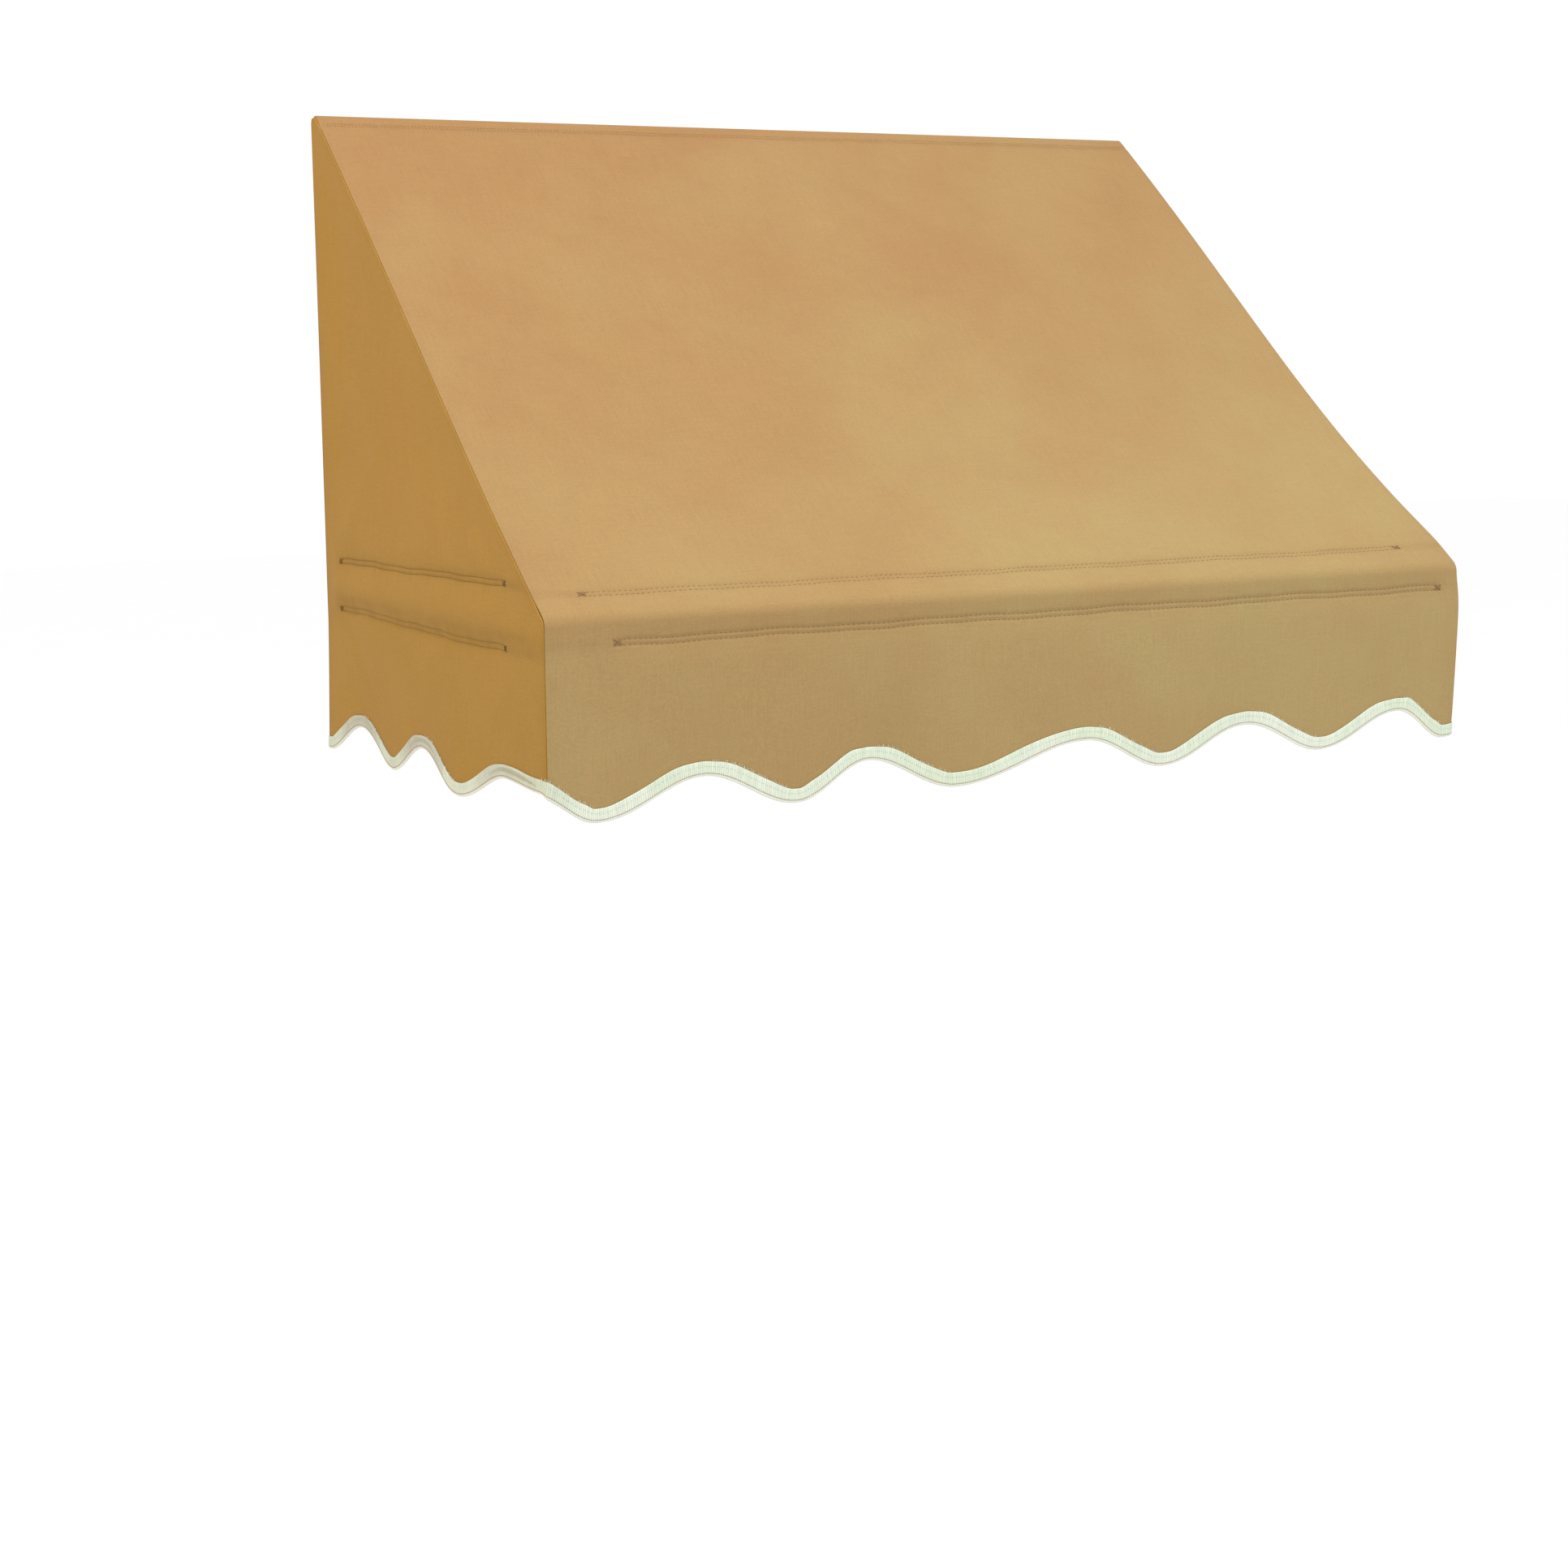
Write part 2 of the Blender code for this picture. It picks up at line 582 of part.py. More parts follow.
def make_arm_fixings(word, side, arm):
    """The arm's wall bracket, its bolt and nut, and the plug in the arm's rear end."""
    z = BAR[1]
    ear_x = ARM_X - TUBE_R - GAP
    angle_bracket(f"arm_bracket_{word}", side, side * ear_x, z, ARM_BRACKET, ARM_BOLT_Y)
    bore = cross_bore(f"arm_bolt_hole_{word}", side * ARM_X, ARM_BOLT_Y, z)
    combine(arm, bore, "DIFFERENCE")
    head_x = ARM_X + TUBE_R + GAP
    nut_x = ear_x - BRACKET_SHEET - GAP
    bolt(f"arm_bolt_{word}", side, head_x, nut_x, ARM_BOLT_Y, z)
    nut(f"arm_nut_{word}", side * nut_x, side, ARM_BOLT_Y, z)

    depth, flange = PLUG
    chamfer, flange_r = 0.001, TUBE_R - 0.0005
    profile = [(0, 0), (SPIGOT_R - chamfer, 0), (SPIGOT_R, -chamfer), (SPIGOT_R, -depth)]
    profile += [(flange_r, -depth), (flange_r, -depth - flange), (0, -depth - flange)]
    seat = Matrix.Translation((side * ARM_X, ARM_REAR_Y + GAP - depth, z))
    turned(f"arm_plug_{word}", profile, seat @ Matrix.Rotation(math.pi / 2, 4, "X"), PLASTIC)


def make_stay(word, side, arm):
    """The flat stay from the arm's front up to the wall, with a bracket, two bolts and two nuts."""
    width, thickness = STAY
    lower = Vector((BAR_Y + BEND_R + SPIGOT + STAY_BOLT_INSET, BAR[1]))
    upper = Vector(STAY_TOP)
    lean = math.degrees(math.atan2(upper.y - lower.y, upper.x - lower.x))
    outline = arc(lower, width / 2, lean + 90, lean + 270, 20)
    outline += arc(upper, width / 2, lean - 90, lean + 90, 20)
    stay_x = ARM_X - TUBE_R - GAP - thickness / 2
    holes = [circle(lower, BOLT_HOLE_R, 16), circle(upper, BOLT_HOLE_R, 16)]
    flat_solid(f"stay_{word}", [outline] + holes, thickness, ACROSS_X, (side * stay_x, 0, 0), ZINC)

    bore = cross_bore(f"stay_bolt_hole_{word}", side * ARM_X, lower.x, lower.y)
    combine(arm, bore, "DIFFERENCE")
    head_x = ARM_X + TUBE_R + GAP
    inner_x = stay_x - thickness / 2 - GAP
    bolt(f"stay_front_bolt_{word}", side, head_x, inner_x, lower.x, lower.y)
    nut(f"stay_front_nut_{word}", side * inner_x, side, lower.x, lower.y)

    angle_bracket(f"stay_bracket_{word}", side, side * inner_x, upper.y, STAY_BRACKET, upper.x)
    head_x = stay_x + thickness / 2 + GAP
    nut_x = inner_x - BRACKET_SHEET - GAP
    bolt(f"stay_wall_bolt_{word}", side, head_x, nut_x, upper.x, upper.y)
    nut(f"stay_wall_nut_{word}", side * nut_x, side, upper.x, upper.y)


# ---------------------------------------------------------------- head rod and its hooks


def make_head_rod():
    """The rod in the top hem and the cap on each of its ends."""
    rod_end = SIDE_IN_X - ROD_INSET
    y, z = ROD
    rod_between("head_rod", (-rod_end, y, z), (rod_end, y, z), ROD_R, POWDER)
    wall, depth = CAP
    cap_r = HEM_R - CLOTH - 2 * GAP
    bore_r = ROD_R + GAP
    profile = [(0, wall), (cap_r - wall, wall), (cap_r, 0.0), (cap_r, -depth)]
    profile += [(bore_r, -depth), (bore_r, -GAP), (0, -GAP)]
    for side, word in ((-1, "left"), (1, "right")):
        place = along_x(side, side * (rod_end + 2 * GAP), y, z)
        turned(f"rod_cap_{word}", profile, place, PLASTIC, steps=24)


def make_hook(name, x):
    """A wall plate with a strip bent out of it, under the rod and up its outer side."""
    sheet = HOOK_SHEET
    inner_r = ROD_R + GAP
    outer_r = inner_r + sheet
    low_z = ROD_CENTRE.z - outer_r
    start = -sheet / 2
    outline = [(start, low_z)] + arc(ROD, outer_r, 270, 150) + arc(ROD, inner_r, 150, 270)
    outline += [(start, low_z + sheet)]
    hook = flat_solid(name, [outline], HOOK_WIDTH, ACROSS_X, (x, 0, 0), ZINC)
    corner = HOOK_PLATE_CORNER
    half_w, half_h = HOOK_PLATE[0] / 2 - corner, HOOK_PLATE[1] / 2 - corner
    rim = []
    for across, up, angle in ((1, 1, 0), (-1, 1, 90), (-1, -1, 180), (1, -1, 270)):
        rim += arc((across * half_w, up * half_h), corner, angle, angle + 90, 45)
    holes = [circle((0, height), HOOK_SCREW_R, 16) for height in HOOK_SCREWS]
    plate = flat_solid(name + "_plate", [rim] + holes, sheet, ACROSS_Y, (x, -sheet / 2, 0), None)
    combine(hook, plate, "UNION")


def main():
    make_top_panel()
    for side, word in ((-1, "left"), (1, "right")):
        make_side_panel(f"side_panel_{word}", side)
        make_arm_sleeve(f"arm_sleeve_{word}", side)
    make_edge_binding()
    make_front_sleeve()
    make_u_frame()
    make_head_rod()
    for x, word in zip(HOOK_X, ("left", "centre", "right")):
        make_hook(f"hook_bracket_{word}", x)


main()
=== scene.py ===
"""Looks of the window awning: draped cloth, sewn rows, folded edge tape and the frame's finishes.

Metres in the frame's own axes: the wall is y = 0, the awning stands out towards -Y, X runs along
the wall and Z is up. Every cloth piece is first laid out taut on the frame, and then one smooth
field, drape(), moves all of them alike, so that threads and tape stay on the cloth.
"""

import json
import math

import bpy
import numpy as np
from mathutils import Matrix, Vector


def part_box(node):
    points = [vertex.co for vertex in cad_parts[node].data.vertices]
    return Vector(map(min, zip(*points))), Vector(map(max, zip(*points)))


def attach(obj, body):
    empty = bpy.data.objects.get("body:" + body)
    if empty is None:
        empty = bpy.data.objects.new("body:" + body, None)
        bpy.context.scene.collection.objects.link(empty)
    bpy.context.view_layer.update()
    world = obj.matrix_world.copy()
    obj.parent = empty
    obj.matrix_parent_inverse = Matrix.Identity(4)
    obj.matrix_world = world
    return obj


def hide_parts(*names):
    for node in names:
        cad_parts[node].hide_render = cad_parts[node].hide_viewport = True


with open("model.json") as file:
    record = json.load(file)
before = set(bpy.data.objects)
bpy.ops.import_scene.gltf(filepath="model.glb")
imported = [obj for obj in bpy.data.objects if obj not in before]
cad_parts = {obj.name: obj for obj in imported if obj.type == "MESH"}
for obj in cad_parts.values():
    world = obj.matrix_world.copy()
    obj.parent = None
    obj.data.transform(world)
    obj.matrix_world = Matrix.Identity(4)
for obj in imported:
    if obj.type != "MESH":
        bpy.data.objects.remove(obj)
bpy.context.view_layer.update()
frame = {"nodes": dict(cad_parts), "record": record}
rng = np.random.default_rng(7)


def node_centre(name):
    low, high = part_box(name)
    return (low + high) / 2


# ---------------- sizes from the frame

PANEL_LOW, PANEL_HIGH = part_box("top_panel")
SIDE_LOW, SIDE_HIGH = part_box("side_panel_left")
HALF = -SIDE_LOW.x
PROJECTION = -PANEL_LOW.y
WALL_EDGE_Y = SIDE_HIGH.y
LOW_EDGE_Z = PANEL_LOW.z
ROD = np.array(node_centre("head_rod").yz)
BAR = np.array(node_centre("front_bar").yz)
ARM_X = node_centre("arm_right").x
HOOK_X = np.array([node_centre(f"hook_bracket_{word}").x for word in ("left", "centre", "right")])
BAR_R = BAR[0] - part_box("front_bar")[0].y
HEM_R = PANEL_HIGH.z - ROD[1]
FOLD_R = PROJECTION + BAR[0]
WIDTH = 2 * HALF

# Angles in the YZ plane count from +Y (towards the wall) up to +Z.
BETWEEN = ROD - BAR
NORMAL = math.atan2(BETWEEN[1], BETWEEN[0]) + math.acos((FOLD_R - HEM_R) / math.hypot(*BETWEEN))
OUT = np.array([math.cos(NORMAL), math.sin(NORMAL)])
DOWN = np.array([-OUT[1], OUT[0]])
SLOPE_TOP = ROD + HEM_R * OUT
SLOPE = float((BAR + FOLD_R * OUT - SLOPE_TOP) @ DOWN)
FOLD_ARC = FOLD_R * (math.pi - NORMAL)
FOLD_CORNER = FOLD_R * math.tan((math.pi - NORMAL) / 2)
FOLD_Z = float(BAR[1]) + FOLD_CORNER

# ---------------- cloth, tape and sewing

CLOTH = 0.0009
WEAVE_PITCH = 0.0011
INNER = CLOTH + 0.0003  # from a panel's outer face to the leaf sewn inside it
UNDER = INNER + CLOTH  # to that leaf's inner face
SEAM_LIP = 0.0011  # radius of the turned edges at a sewn corner
SEAM_FLANGE = 0.009  # seam allowance turned inside
SCALLOP = 0.038
HEM_TUNNEL = 0.018
HEM_MARGIN = 0.010
SLEEVE_MARGIN = 0.010
SLEEVE_R = BAR_R + 0.0012
SLEEVE_STEP = 0.006
# The scalloped edge along its developed length, from the wall round both corners to the wall:
# (distance, height above the lowest point as a share of SCALLOP). The left side's last crest
# stays up as far as the corner.
EDGE_TURNS = np.array(
    ((0.010, 0), (0.120, 1), (0.235, 0), (0.345, 1), (0.470, 0), (0.600, 0.92), (0.705, 0.85))
    + ((0.775, 0), (0.900, 1), (1.010, 0), (1.100, 1), (1.210, 0), (1.385, 1))
    + ((1.490, 0), (1.615, 1), (1.725, 0), (1.847, 1), (1.922, 0))
    + ((2.060, 1), (2.190, 0), (2.315, 1), (2.425, 0), (2.540, 1), (2.650, 0))
)
EDGE_LENGTH = 2 * PROJECTION + WIDTH

ROW_GAP = 0.0062  # between the two rows of a double seam
FRONT_UP = 0.0375  # lower row of the upper front seam, up the slope from the fold
FRONT_DOWN = 0.0235  # upper row of the lower front seam, below the fold
SIDE_SEAM = 0.0345  # inner rows of the side seams, above and below the arm
FRONT_UPPER_X = (-0.557, 0.541)
FRONT_LOWER_X = (-0.531, 0.583)
SIDE_ROWS = (0.057, 0.618)  # off the wall
STITCH = 0.0062
STITCH_SHOWN = 0.0046

TAPE_UP = 0.0135
TAPE_DOWN = 0.0020
TAPE = 0.0006
TAPE_OFF = 0.0003
TAPE_RIB = 0.0024
TAPE_RIB_HEIGHT = 0.00028
TAPE_CORNER = 0.0035  # radius of the tape's line in plan at the two corners
TAPE_ENDS = (-WALL_EDGE_Y, EDGE_LENGTH + WALL_EDGE_Y)
SIDE_COLUMNS = 110  # of the side panels' meshes


# ---------------- taut shape


def smooth(x, low, high):
    """0 below low, 1 above high, with a soft step between."""
    t = np.clip((np.asarray(x, float) - low) / (high - low), 0, 1)
    return t * t * (3 - 2 * t)


def bell(x, width):
    return np.exp(-((x / width) ** 2))


def profile(s):
    """(y, z) and outward normal at a distance s down the canopy from where it leaves the rod."""
    s = np.asarray(s, float)
    angle = NORMAL + np.minimum(s, 0) / HEM_R + np.clip(s - SLOPE, 0, FOLD_ARC) / FOLD_R
    normal = np.stack([np.cos(angle), np.sin(angle)], -1)
    on_rod = ROD + HEM_R * normal
    on_slope = SLOPE_TOP + np.clip(s, 0, SLOPE)[..., None] * DOWN
    on_bar = BAR + FOLD_R * normal
    on_bar[..., 1] -= np.maximum(s - SLOPE - FOLD_ARC, 0)
    place = np.where((s < 0)[..., None], on_rod, np.where((s <= SLOPE)[..., None], on_slope, on_bar))
    return place, normal


def edge_height(distance):
    """Height of the scalloped edge of the cloth at distances along the developed edge."""
    places, rises = EDGE_TURNS.T
    d = np.clip(distance, places[0], places[-1])
    index = np.clip(np.searchsorted(places, d, side="right") - 1, 0, len(places) - 2)
    part = (1 - np.cos(np.pi * (d - places[index]) / (places[index + 1] - places[index]))) / 2
    return LOW_EDGE_Z + SCALLOP * (rises[index] + part * (rises[index + 1] - rises[index]))


def edge_distance(x, y, side):
    """Developed distance of a point on the front (side 0) or on a side (-1 or 1)."""
    if side == 0:
        return PROJECTION + HALF + x
    return -y if side < 0 else EDGE_LENGTH + y


def points(x, y, z):
    x, y, z = np.broadcast_arrays(x, y, z)
    return np.stack([x, y, z], -1)


# ---------------- how the cloth hangs


def wave(t, period, phase):
    return np.sin(2 * np.pi * (t / period + phase))


def row_wander(t, seed):
    """How far a sewn row strays from its line along its length."""
    return 0.0007 * wave(t, 0.23, 0.13 * seed) + 0.0004 * wave(t, 0.087, 0.31 * seed)


def side_wander(y, side, above):
    """How far a side's double row rises along its length, above or below the arm."""
    if above:
        return 0.003 * smooth(-y, 0.30, 0.62)
    rear = 0.0070 if side < 0 else 0.0035
    return 0.008 + rear * (1 - smooth(-y, 0.10, 0.50))


def crease(u, v, start, end, width, depth):
    """A soft straight fold in a plane, dying away at both ends."""
    start, end = np.array(start), np.array(end)
    length = float(np.hypot(*(end - start)))
    du, dv = (end - start) / length
    along = ((u - start[0]) * du + (v - start[1]) * dv) / length
    across = (v - start[1]) * du - (u - start[0]) * dv
    fade = smooth(along, -0.05, 0.25) * (1 - smooth(along, 0.55, 1.05))
    return 0.6 * depth * fade * (bell(across, width) - 0.45 * bell(across - 1.6 * width, 1.3 * width))


# Soft folds on the slope: start and end as (x, distance down the slope), width and height.
SLOPE_CREASES = (
    ((-0.560, 0.03), (-0.500, 0.34), 0.013, 0.0011),
    ((-0.400, 0.02), (-0.385, 0.20), 0.009, 0.0008),
    ((-0.215, 0.02), (-0.225, 0.24), 0.010, 0.0009),
    ((-0.060, 0.02), (-0.050, 0.17), 0.008, 0.0006),
    ((0.135, 0.02), (0.120, 0.26), 0.011, 0.0009),
    ((0.330, 0.02), (0.345, 0.20), 0.009, 0.0007),
    ((0.520, 0.03), (0.470, 0.36), 0.013, 0.0011),
    ((-0.590, 0.84), (-0.470, 0.62), 0.014, 0.0013),
    ((0.592, 0.83), (0.455, 0.58), 0.016, 0.0016),
)
# Soft folds on a side panel: start and end as (distance off the wall, height above the arm).
SIDE_CREASES = (
    ((0.05, 0.05), (0.26, 0.22), 0.014, 0.0016),
    ((0.03, 0.34), (0.17, 0.14), 0.012, 0.0014),
    ((0.62, 0.02), (0.47, 0.11), 0.013, 0.0015),
    ((0.63, -0.06), (0.52, -0.15), 0.012, 0.0013),
    ((0.07, -0.05), (0.19, -0.16), 0.012, 0.0013),
)


def pucker(t, distance, seed):
    """Gathers across a sewn row: t runs along the row, and distance is how far off it."""
    ripple = wave(t, 0.021, 0.37 * seed) + 0.9 * wave(t, 0.033, 0.11 + 0.23 * seed)
    ripple += 0.8 * wave(t, 0.057, 0.53 * seed)
    return 0.00020 * ripple * bell(distance, 0.012)


def slope_sag(x, s):
    """Inward sag of the slope between rod and bar, deepest about two thirds of the way down."""
    v = np.clip(s / SLOPE, 0, 1)
    depth = 0.0135 + 0.0035 * x / HALF + 0.0018 * np.cos(np.pi * x / WIDTH)
    slow = 0.0012 * wave(x, 0.47, 0.2) * np.sin(np.pi * v)
    return depth * np.sin(np.pi * v**1.8) + slow


def seam_pull(offset):
    """Inward pull of a double row and its neighbourhood, from the middle between its rows."""
    rows = bell(np.abs(offset) - ROW_GAP / 2, 0.0017)
    return 0.0007 * rows + 0.0010 * bell(offset, 0.012) + 0.0006 * bell(offset, 0.026)


def between(t, ends):
    """1 between the two ends of a sewn row, fading to 0 just past them."""
    rise = smooth(t, ends[0] - 0.02, ends[0] + 0.03)
    return rise * (1 - smooth(t, ends[1] - 0.03, ends[1] + 0.02))


def off_front_rows(x, s):
    """Distances from the middles of the upper and of the lower double row on the front."""
    up = SLOPE + FOLD_CORNER - s
    down = s - (SLOPE + FOLD_ARC) + FOLD_CORNER
    upper = up - FRONT_UP - ROW_GAP / 2 - row_wander(x, 1)
    return upper, down - FRONT_DOWN - ROW_GAP / 2 - row_wander(x, 2)


def off_side_rows(y, z, side):
    """Distances from the middles of the upper and of the lower double row on a side."""
    dz = z - BAR[1]
    middle = SIDE_SEAM + ROW_GAP / 2
    upper = dz - middle - row_wander(-y, 4) - side_wander(y, side, True)
    return upper, dz + middle - row_wander(-y, 5) - side_wander(y, side, False)


def front_relief(x, s):
    """Outward relief of the canopy cloth at a distance s down its profile."""
    fold = SLOPE + FOLD_ARC / 2
    upper, lower = off_front_rows(x, s)
    relief = between(x, FRONT_UPPER_X) * (pucker(x, upper, 1) - seam_pull(upper))
    relief = relief + between(x, FRONT_LOWER_X) * (pucker(x, lower, 2) - 1.4 * seam_pull(lower))
    relief += 0.0010 * bell(s - fold + 0.012, 0.016)
    hem = s - HEM_TUNNEL
    relief += pucker(x, hem, 3) * smooth(s, 0, 0.01) - 0.0007 * bell(hem, 0.005)
    for start, end, width, height in SLOPE_CREASES:
        relief += crease(x, s, start, end, width, height)
    return relief


def valance_wave(x, z):
    """How far the hanging valance stands out from its plane."""
    hang = np.clip((FOLD_Z - FRONT_DOWN - ROW_GAP - z) / 0.19, 0, 1.1)
    inside = smooth(HALF - np.abs(x), 0.0, 0.09)
    waves = 0.0030 * wave(x, 0.52, 0.15) + 0.0022 * wave(x, 0.231, 0.62) + 0.0010 * wave(x, 0.118, 0.4)
    return (hang**1.2) * inside * (waves - 0.002)


def side_relief(y, z, side):
    """Outward relief of a side panel at y and z."""
    off_wall = -y
    dz = z - BAR[1]
    slope_z = SLOPE_TOP[1] + (off_wall + SLOPE_TOP[0]) * DOWN[1] / -DOWN[0]
    below_hip = np.maximum(slope_z - z, 0) * abs(OUT[1])
    inside = smooth(below_hip, 0.0, 0.10) * smooth(PROJECTION - off_wall, 0.0, 0.08)
    belly = -0.0055 * inside * smooth(off_wall, 0.0, 0.10) * smooth(dz, 0.05, 0.20)
    ends = between(off_wall, SIDE_ROWS)
    upper, lower = off_side_rows(y, z, side)
    relief = ends * (pucker(off_wall, upper, 4) - 1.5 * seam_pull(upper))
    relief += ends * (pucker(off_wall, lower, 5) - 1.8 * seam_pull(lower))
    relief += 0.0038 * smooth(off_wall, 0.0, 0.06) * bell(dz, 0.022) * inside
    hang = np.clip((BAR[1] - SIDE_SEAM - 0.006 - z) / 0.17, 0, 1.1)
    waves = 0.0032 * wave(off_wall, 0.44, 0.3) + 0.0022 * wave(off_wall, 0.215, 0.1)
    relief += hang**1.2 * smooth(PROJECTION - off_wall, 0.0, 0.09) * waves
    for start, end, width, height in SIDE_CREASES:
        relief += inside * crease(off_wall, dz, start, end, width, height)
    return relief + belly


HIP_PULL = 0.0030  # how far the hips bow inwards
# For each side: how far the fold's corner droops, and how far the valance's end swings in.
CORNER_DROOPS = ((-1, 0.0022), (1, 0.0052))
END_SWINGS = ((-1, -0.001), (1, 0.0110))


def drape(place, side=0, on_cloth=True):
    """Moves taut points as the hung cloth lies. side is 0 on the canopy, -1 or 1 on a side."""
    place = np.array(place, float)
    x, y, z = place[..., 0], place[..., 1], place[..., 2]
    yz = place[..., 1:]
    s = (yz - SLOPE_TOP) @ DOWN
    height = (yz - SLOPE_TOP) @ OUT
    near_slope = np.exp(np.minimum(height + 0.004, 0) / 0.05)
    moved = place.copy()
    sag = slope_sag(x, s) * near_slope
    moved[..., 1:] -= sag[..., None] * OUT
    hip = np.exp(-(HALF - np.abs(x)) / 0.05) * np.exp(np.minimum(height, 0) / 0.20)
    v = np.clip(s / SLOPE, 0, 1)
    moved[..., 0] -= np.sign(x) * HIP_PULL * np.sin(np.pi * v**1.4) * hip

    # The corners of the fold are held by a round elbow, so the cloth droops there.
    for sign, depth in CORNER_DROOPS:
        gap = place - np.array([sign * HALF, -PROJECTION, FOLD_Z])
        reach = depth * np.exp(-(gap**2).sum(-1) / (2 * 0.023**2))
        moved += reach[..., None] * np.array([-0.45 * sign, 0.80, -0.40])

    # Below the fold the right end swings in a little, the left one hardly.
    hang = np.clip((FOLD_Z - z) / 0.21, 0, 1.1)
    for sign, swing in END_SWINGS:
        near = np.exp(-np.abs(x - sign * HALF) / 0.16) * smooth(-y, 0.30, PROJECTION)
        moved[..., 0] -= sign * swing * hang**1.3 * near
        moved[..., 1] += 0.3 * abs(swing) * hang**1.3 * near
    if not on_cloth:
        return moved
    if side == 0:
        hanging = z <= BAR[1]
        around = np.arctan2(z - BAR[1], y - BAR[0]) - NORMAL
        down = np.where(s > SLOPE, SLOPE + FOLD_R * around, s)
        down = np.where(hanging, SLOPE + FOLD_ARC + BAR[1] - z, down)
        relief = front_relief(x, down)
        moved[..., 1:] += relief[..., None] * profile(down)[1]
        moved[..., 1] -= np.where(hanging, valance_wave(x, z), 0)
    else:
        moved[..., 0] += side * side_relief(y, z, side)
    return moved


# ---------------- meshes


def make_object(name, verts, faces, material, uv=None, values=None):
    """A smooth mesh object; uv is per vertex in metres and values are float attributes."""
    mesh = bpy.data.meshes.new(name)
    mesh.from_pydata(verts.reshape(-1, 3).tolist(), [], faces)
    if uv is not None:
        layer = mesh.uv_layers.new(name="weave")
        loops = np.empty(len(mesh.loops), np.int32)
        mesh.loops.foreach_get("vertex_index", loops)
        layer.uv.foreach_set("vector", uv.reshape(-1, 2)[loops].astype(np.float32).ravel())
    for key, value in (values or {}).items():
        attribute = mesh.attributes.new(key, "FLOAT", "POINT")
        attribute.data.foreach_set("value", value.astype(np.float32).ravel())
    mesh.shade_smooth()
    mesh.materials.append(material)
    obj = bpy.data.objects.new(name, mesh)
    bpy.context.scene.collection.objects.link(obj)
    return obj


def grid_faces(rows, columns, flip):
    index = np.arange(rows * columns).reshape(rows, columns)
    corners = [index[:-1, :-1], index[:-1, 1:], index[1:, 1:], index[1:, :-1]]
    if flip:
        corners.reverse()
    return np.stack([c.ravel() for c in corners], 1).tolist()


def make_sheet(name, hung, material, uv, values, flip, thickness=CLOTH, kept=None):
    """A sheet from its grid of hung places, thickened inwards; kept says which faces stay."""
    faces = grid_faces(*hung.shape[:2], flip)
    if kept is not None:
        faces = [face for face, stays in zip(faces, kept) if stays]
    values = {key: np.broadcast_to(value, hung.shape[:2]) for key, value in values.items()}
    sheet = make_object(name, hung, faces, material, uv, values)
    solidify = sheet.modifiers.new("thickness", "SOLIDIFY")
    solidify.thickness = thickness
    solidify.offset = -1
    return sheet


def weave_uv(u, v):
    return np.stack(np.broadcast_arrays(u, v), -1)


def run_lengths(line):
    """Length along each line of points, which run down the first axis."""
    steps = np.linalg.norm(np.diff(line, axis=0), axis=-1)
    return np.concatenate([0 * steps[:1], np.cumsum(steps, axis=0)])


def spaced(start, end, step):
    return np.linspace(start, end, max(2, math.ceil(abs(end - start) / step) + 1))


def stations(start, *runs):
    """Distances from start on through each (end, step) in turn."""
    parts = []
    for end, step in runs:
        parts.append(spaced(start, end, step)[:-1])
        start = end
    return np.concatenate([*parts, [start]])


def thread_object(name, lines, outward, radius, material, sides=6):
    """Short threads: lines is (threads, points, 3) and outward the matching directions."""
    count, steps = lines.shape[:2]
    tangent = np.gradient(lines, axis=1)
    tangent /= np.linalg.norm(tangent, axis=-1, keepdims=True)
    across = np.cross(tangent, outward)
    across /= np.linalg.norm(across, axis=-1, keepdims=True)
    up = np.cross(across, tangent)
    taper = np.ones(steps)
    taper[[0, -1]] = 0.35
    angles = 2 * np.pi * np.arange(sides) / sides
    ring = across[:, :, None] * np.cos(angles)[:, None] + up[:, :, None] * np.sin(angles)[:, None]
    verts = lines[:, :, None] + radius * taper[None, :, None, None] * ring
    one = np.arange(steps * sides).reshape(steps, sides)
    after = np.roll(one, -1, axis=1)
    quads = np.stack([one[:-1], after[:-1], after[1:], one[1:]], -1).reshape(-1, 4)
    offsets = (np.arange(count) * steps * sides)[:, None, None]
    faces = (quads[None] + offsets).reshape(-1, 4).tolist()
    faces += (one[0][::-1][None] + offsets[:, 0]).tolist()
    faces += (one[-1][None] + offsets[:, 0]).tolist()
    return make_object(name, verts, faces, material)


# ---------------- materials


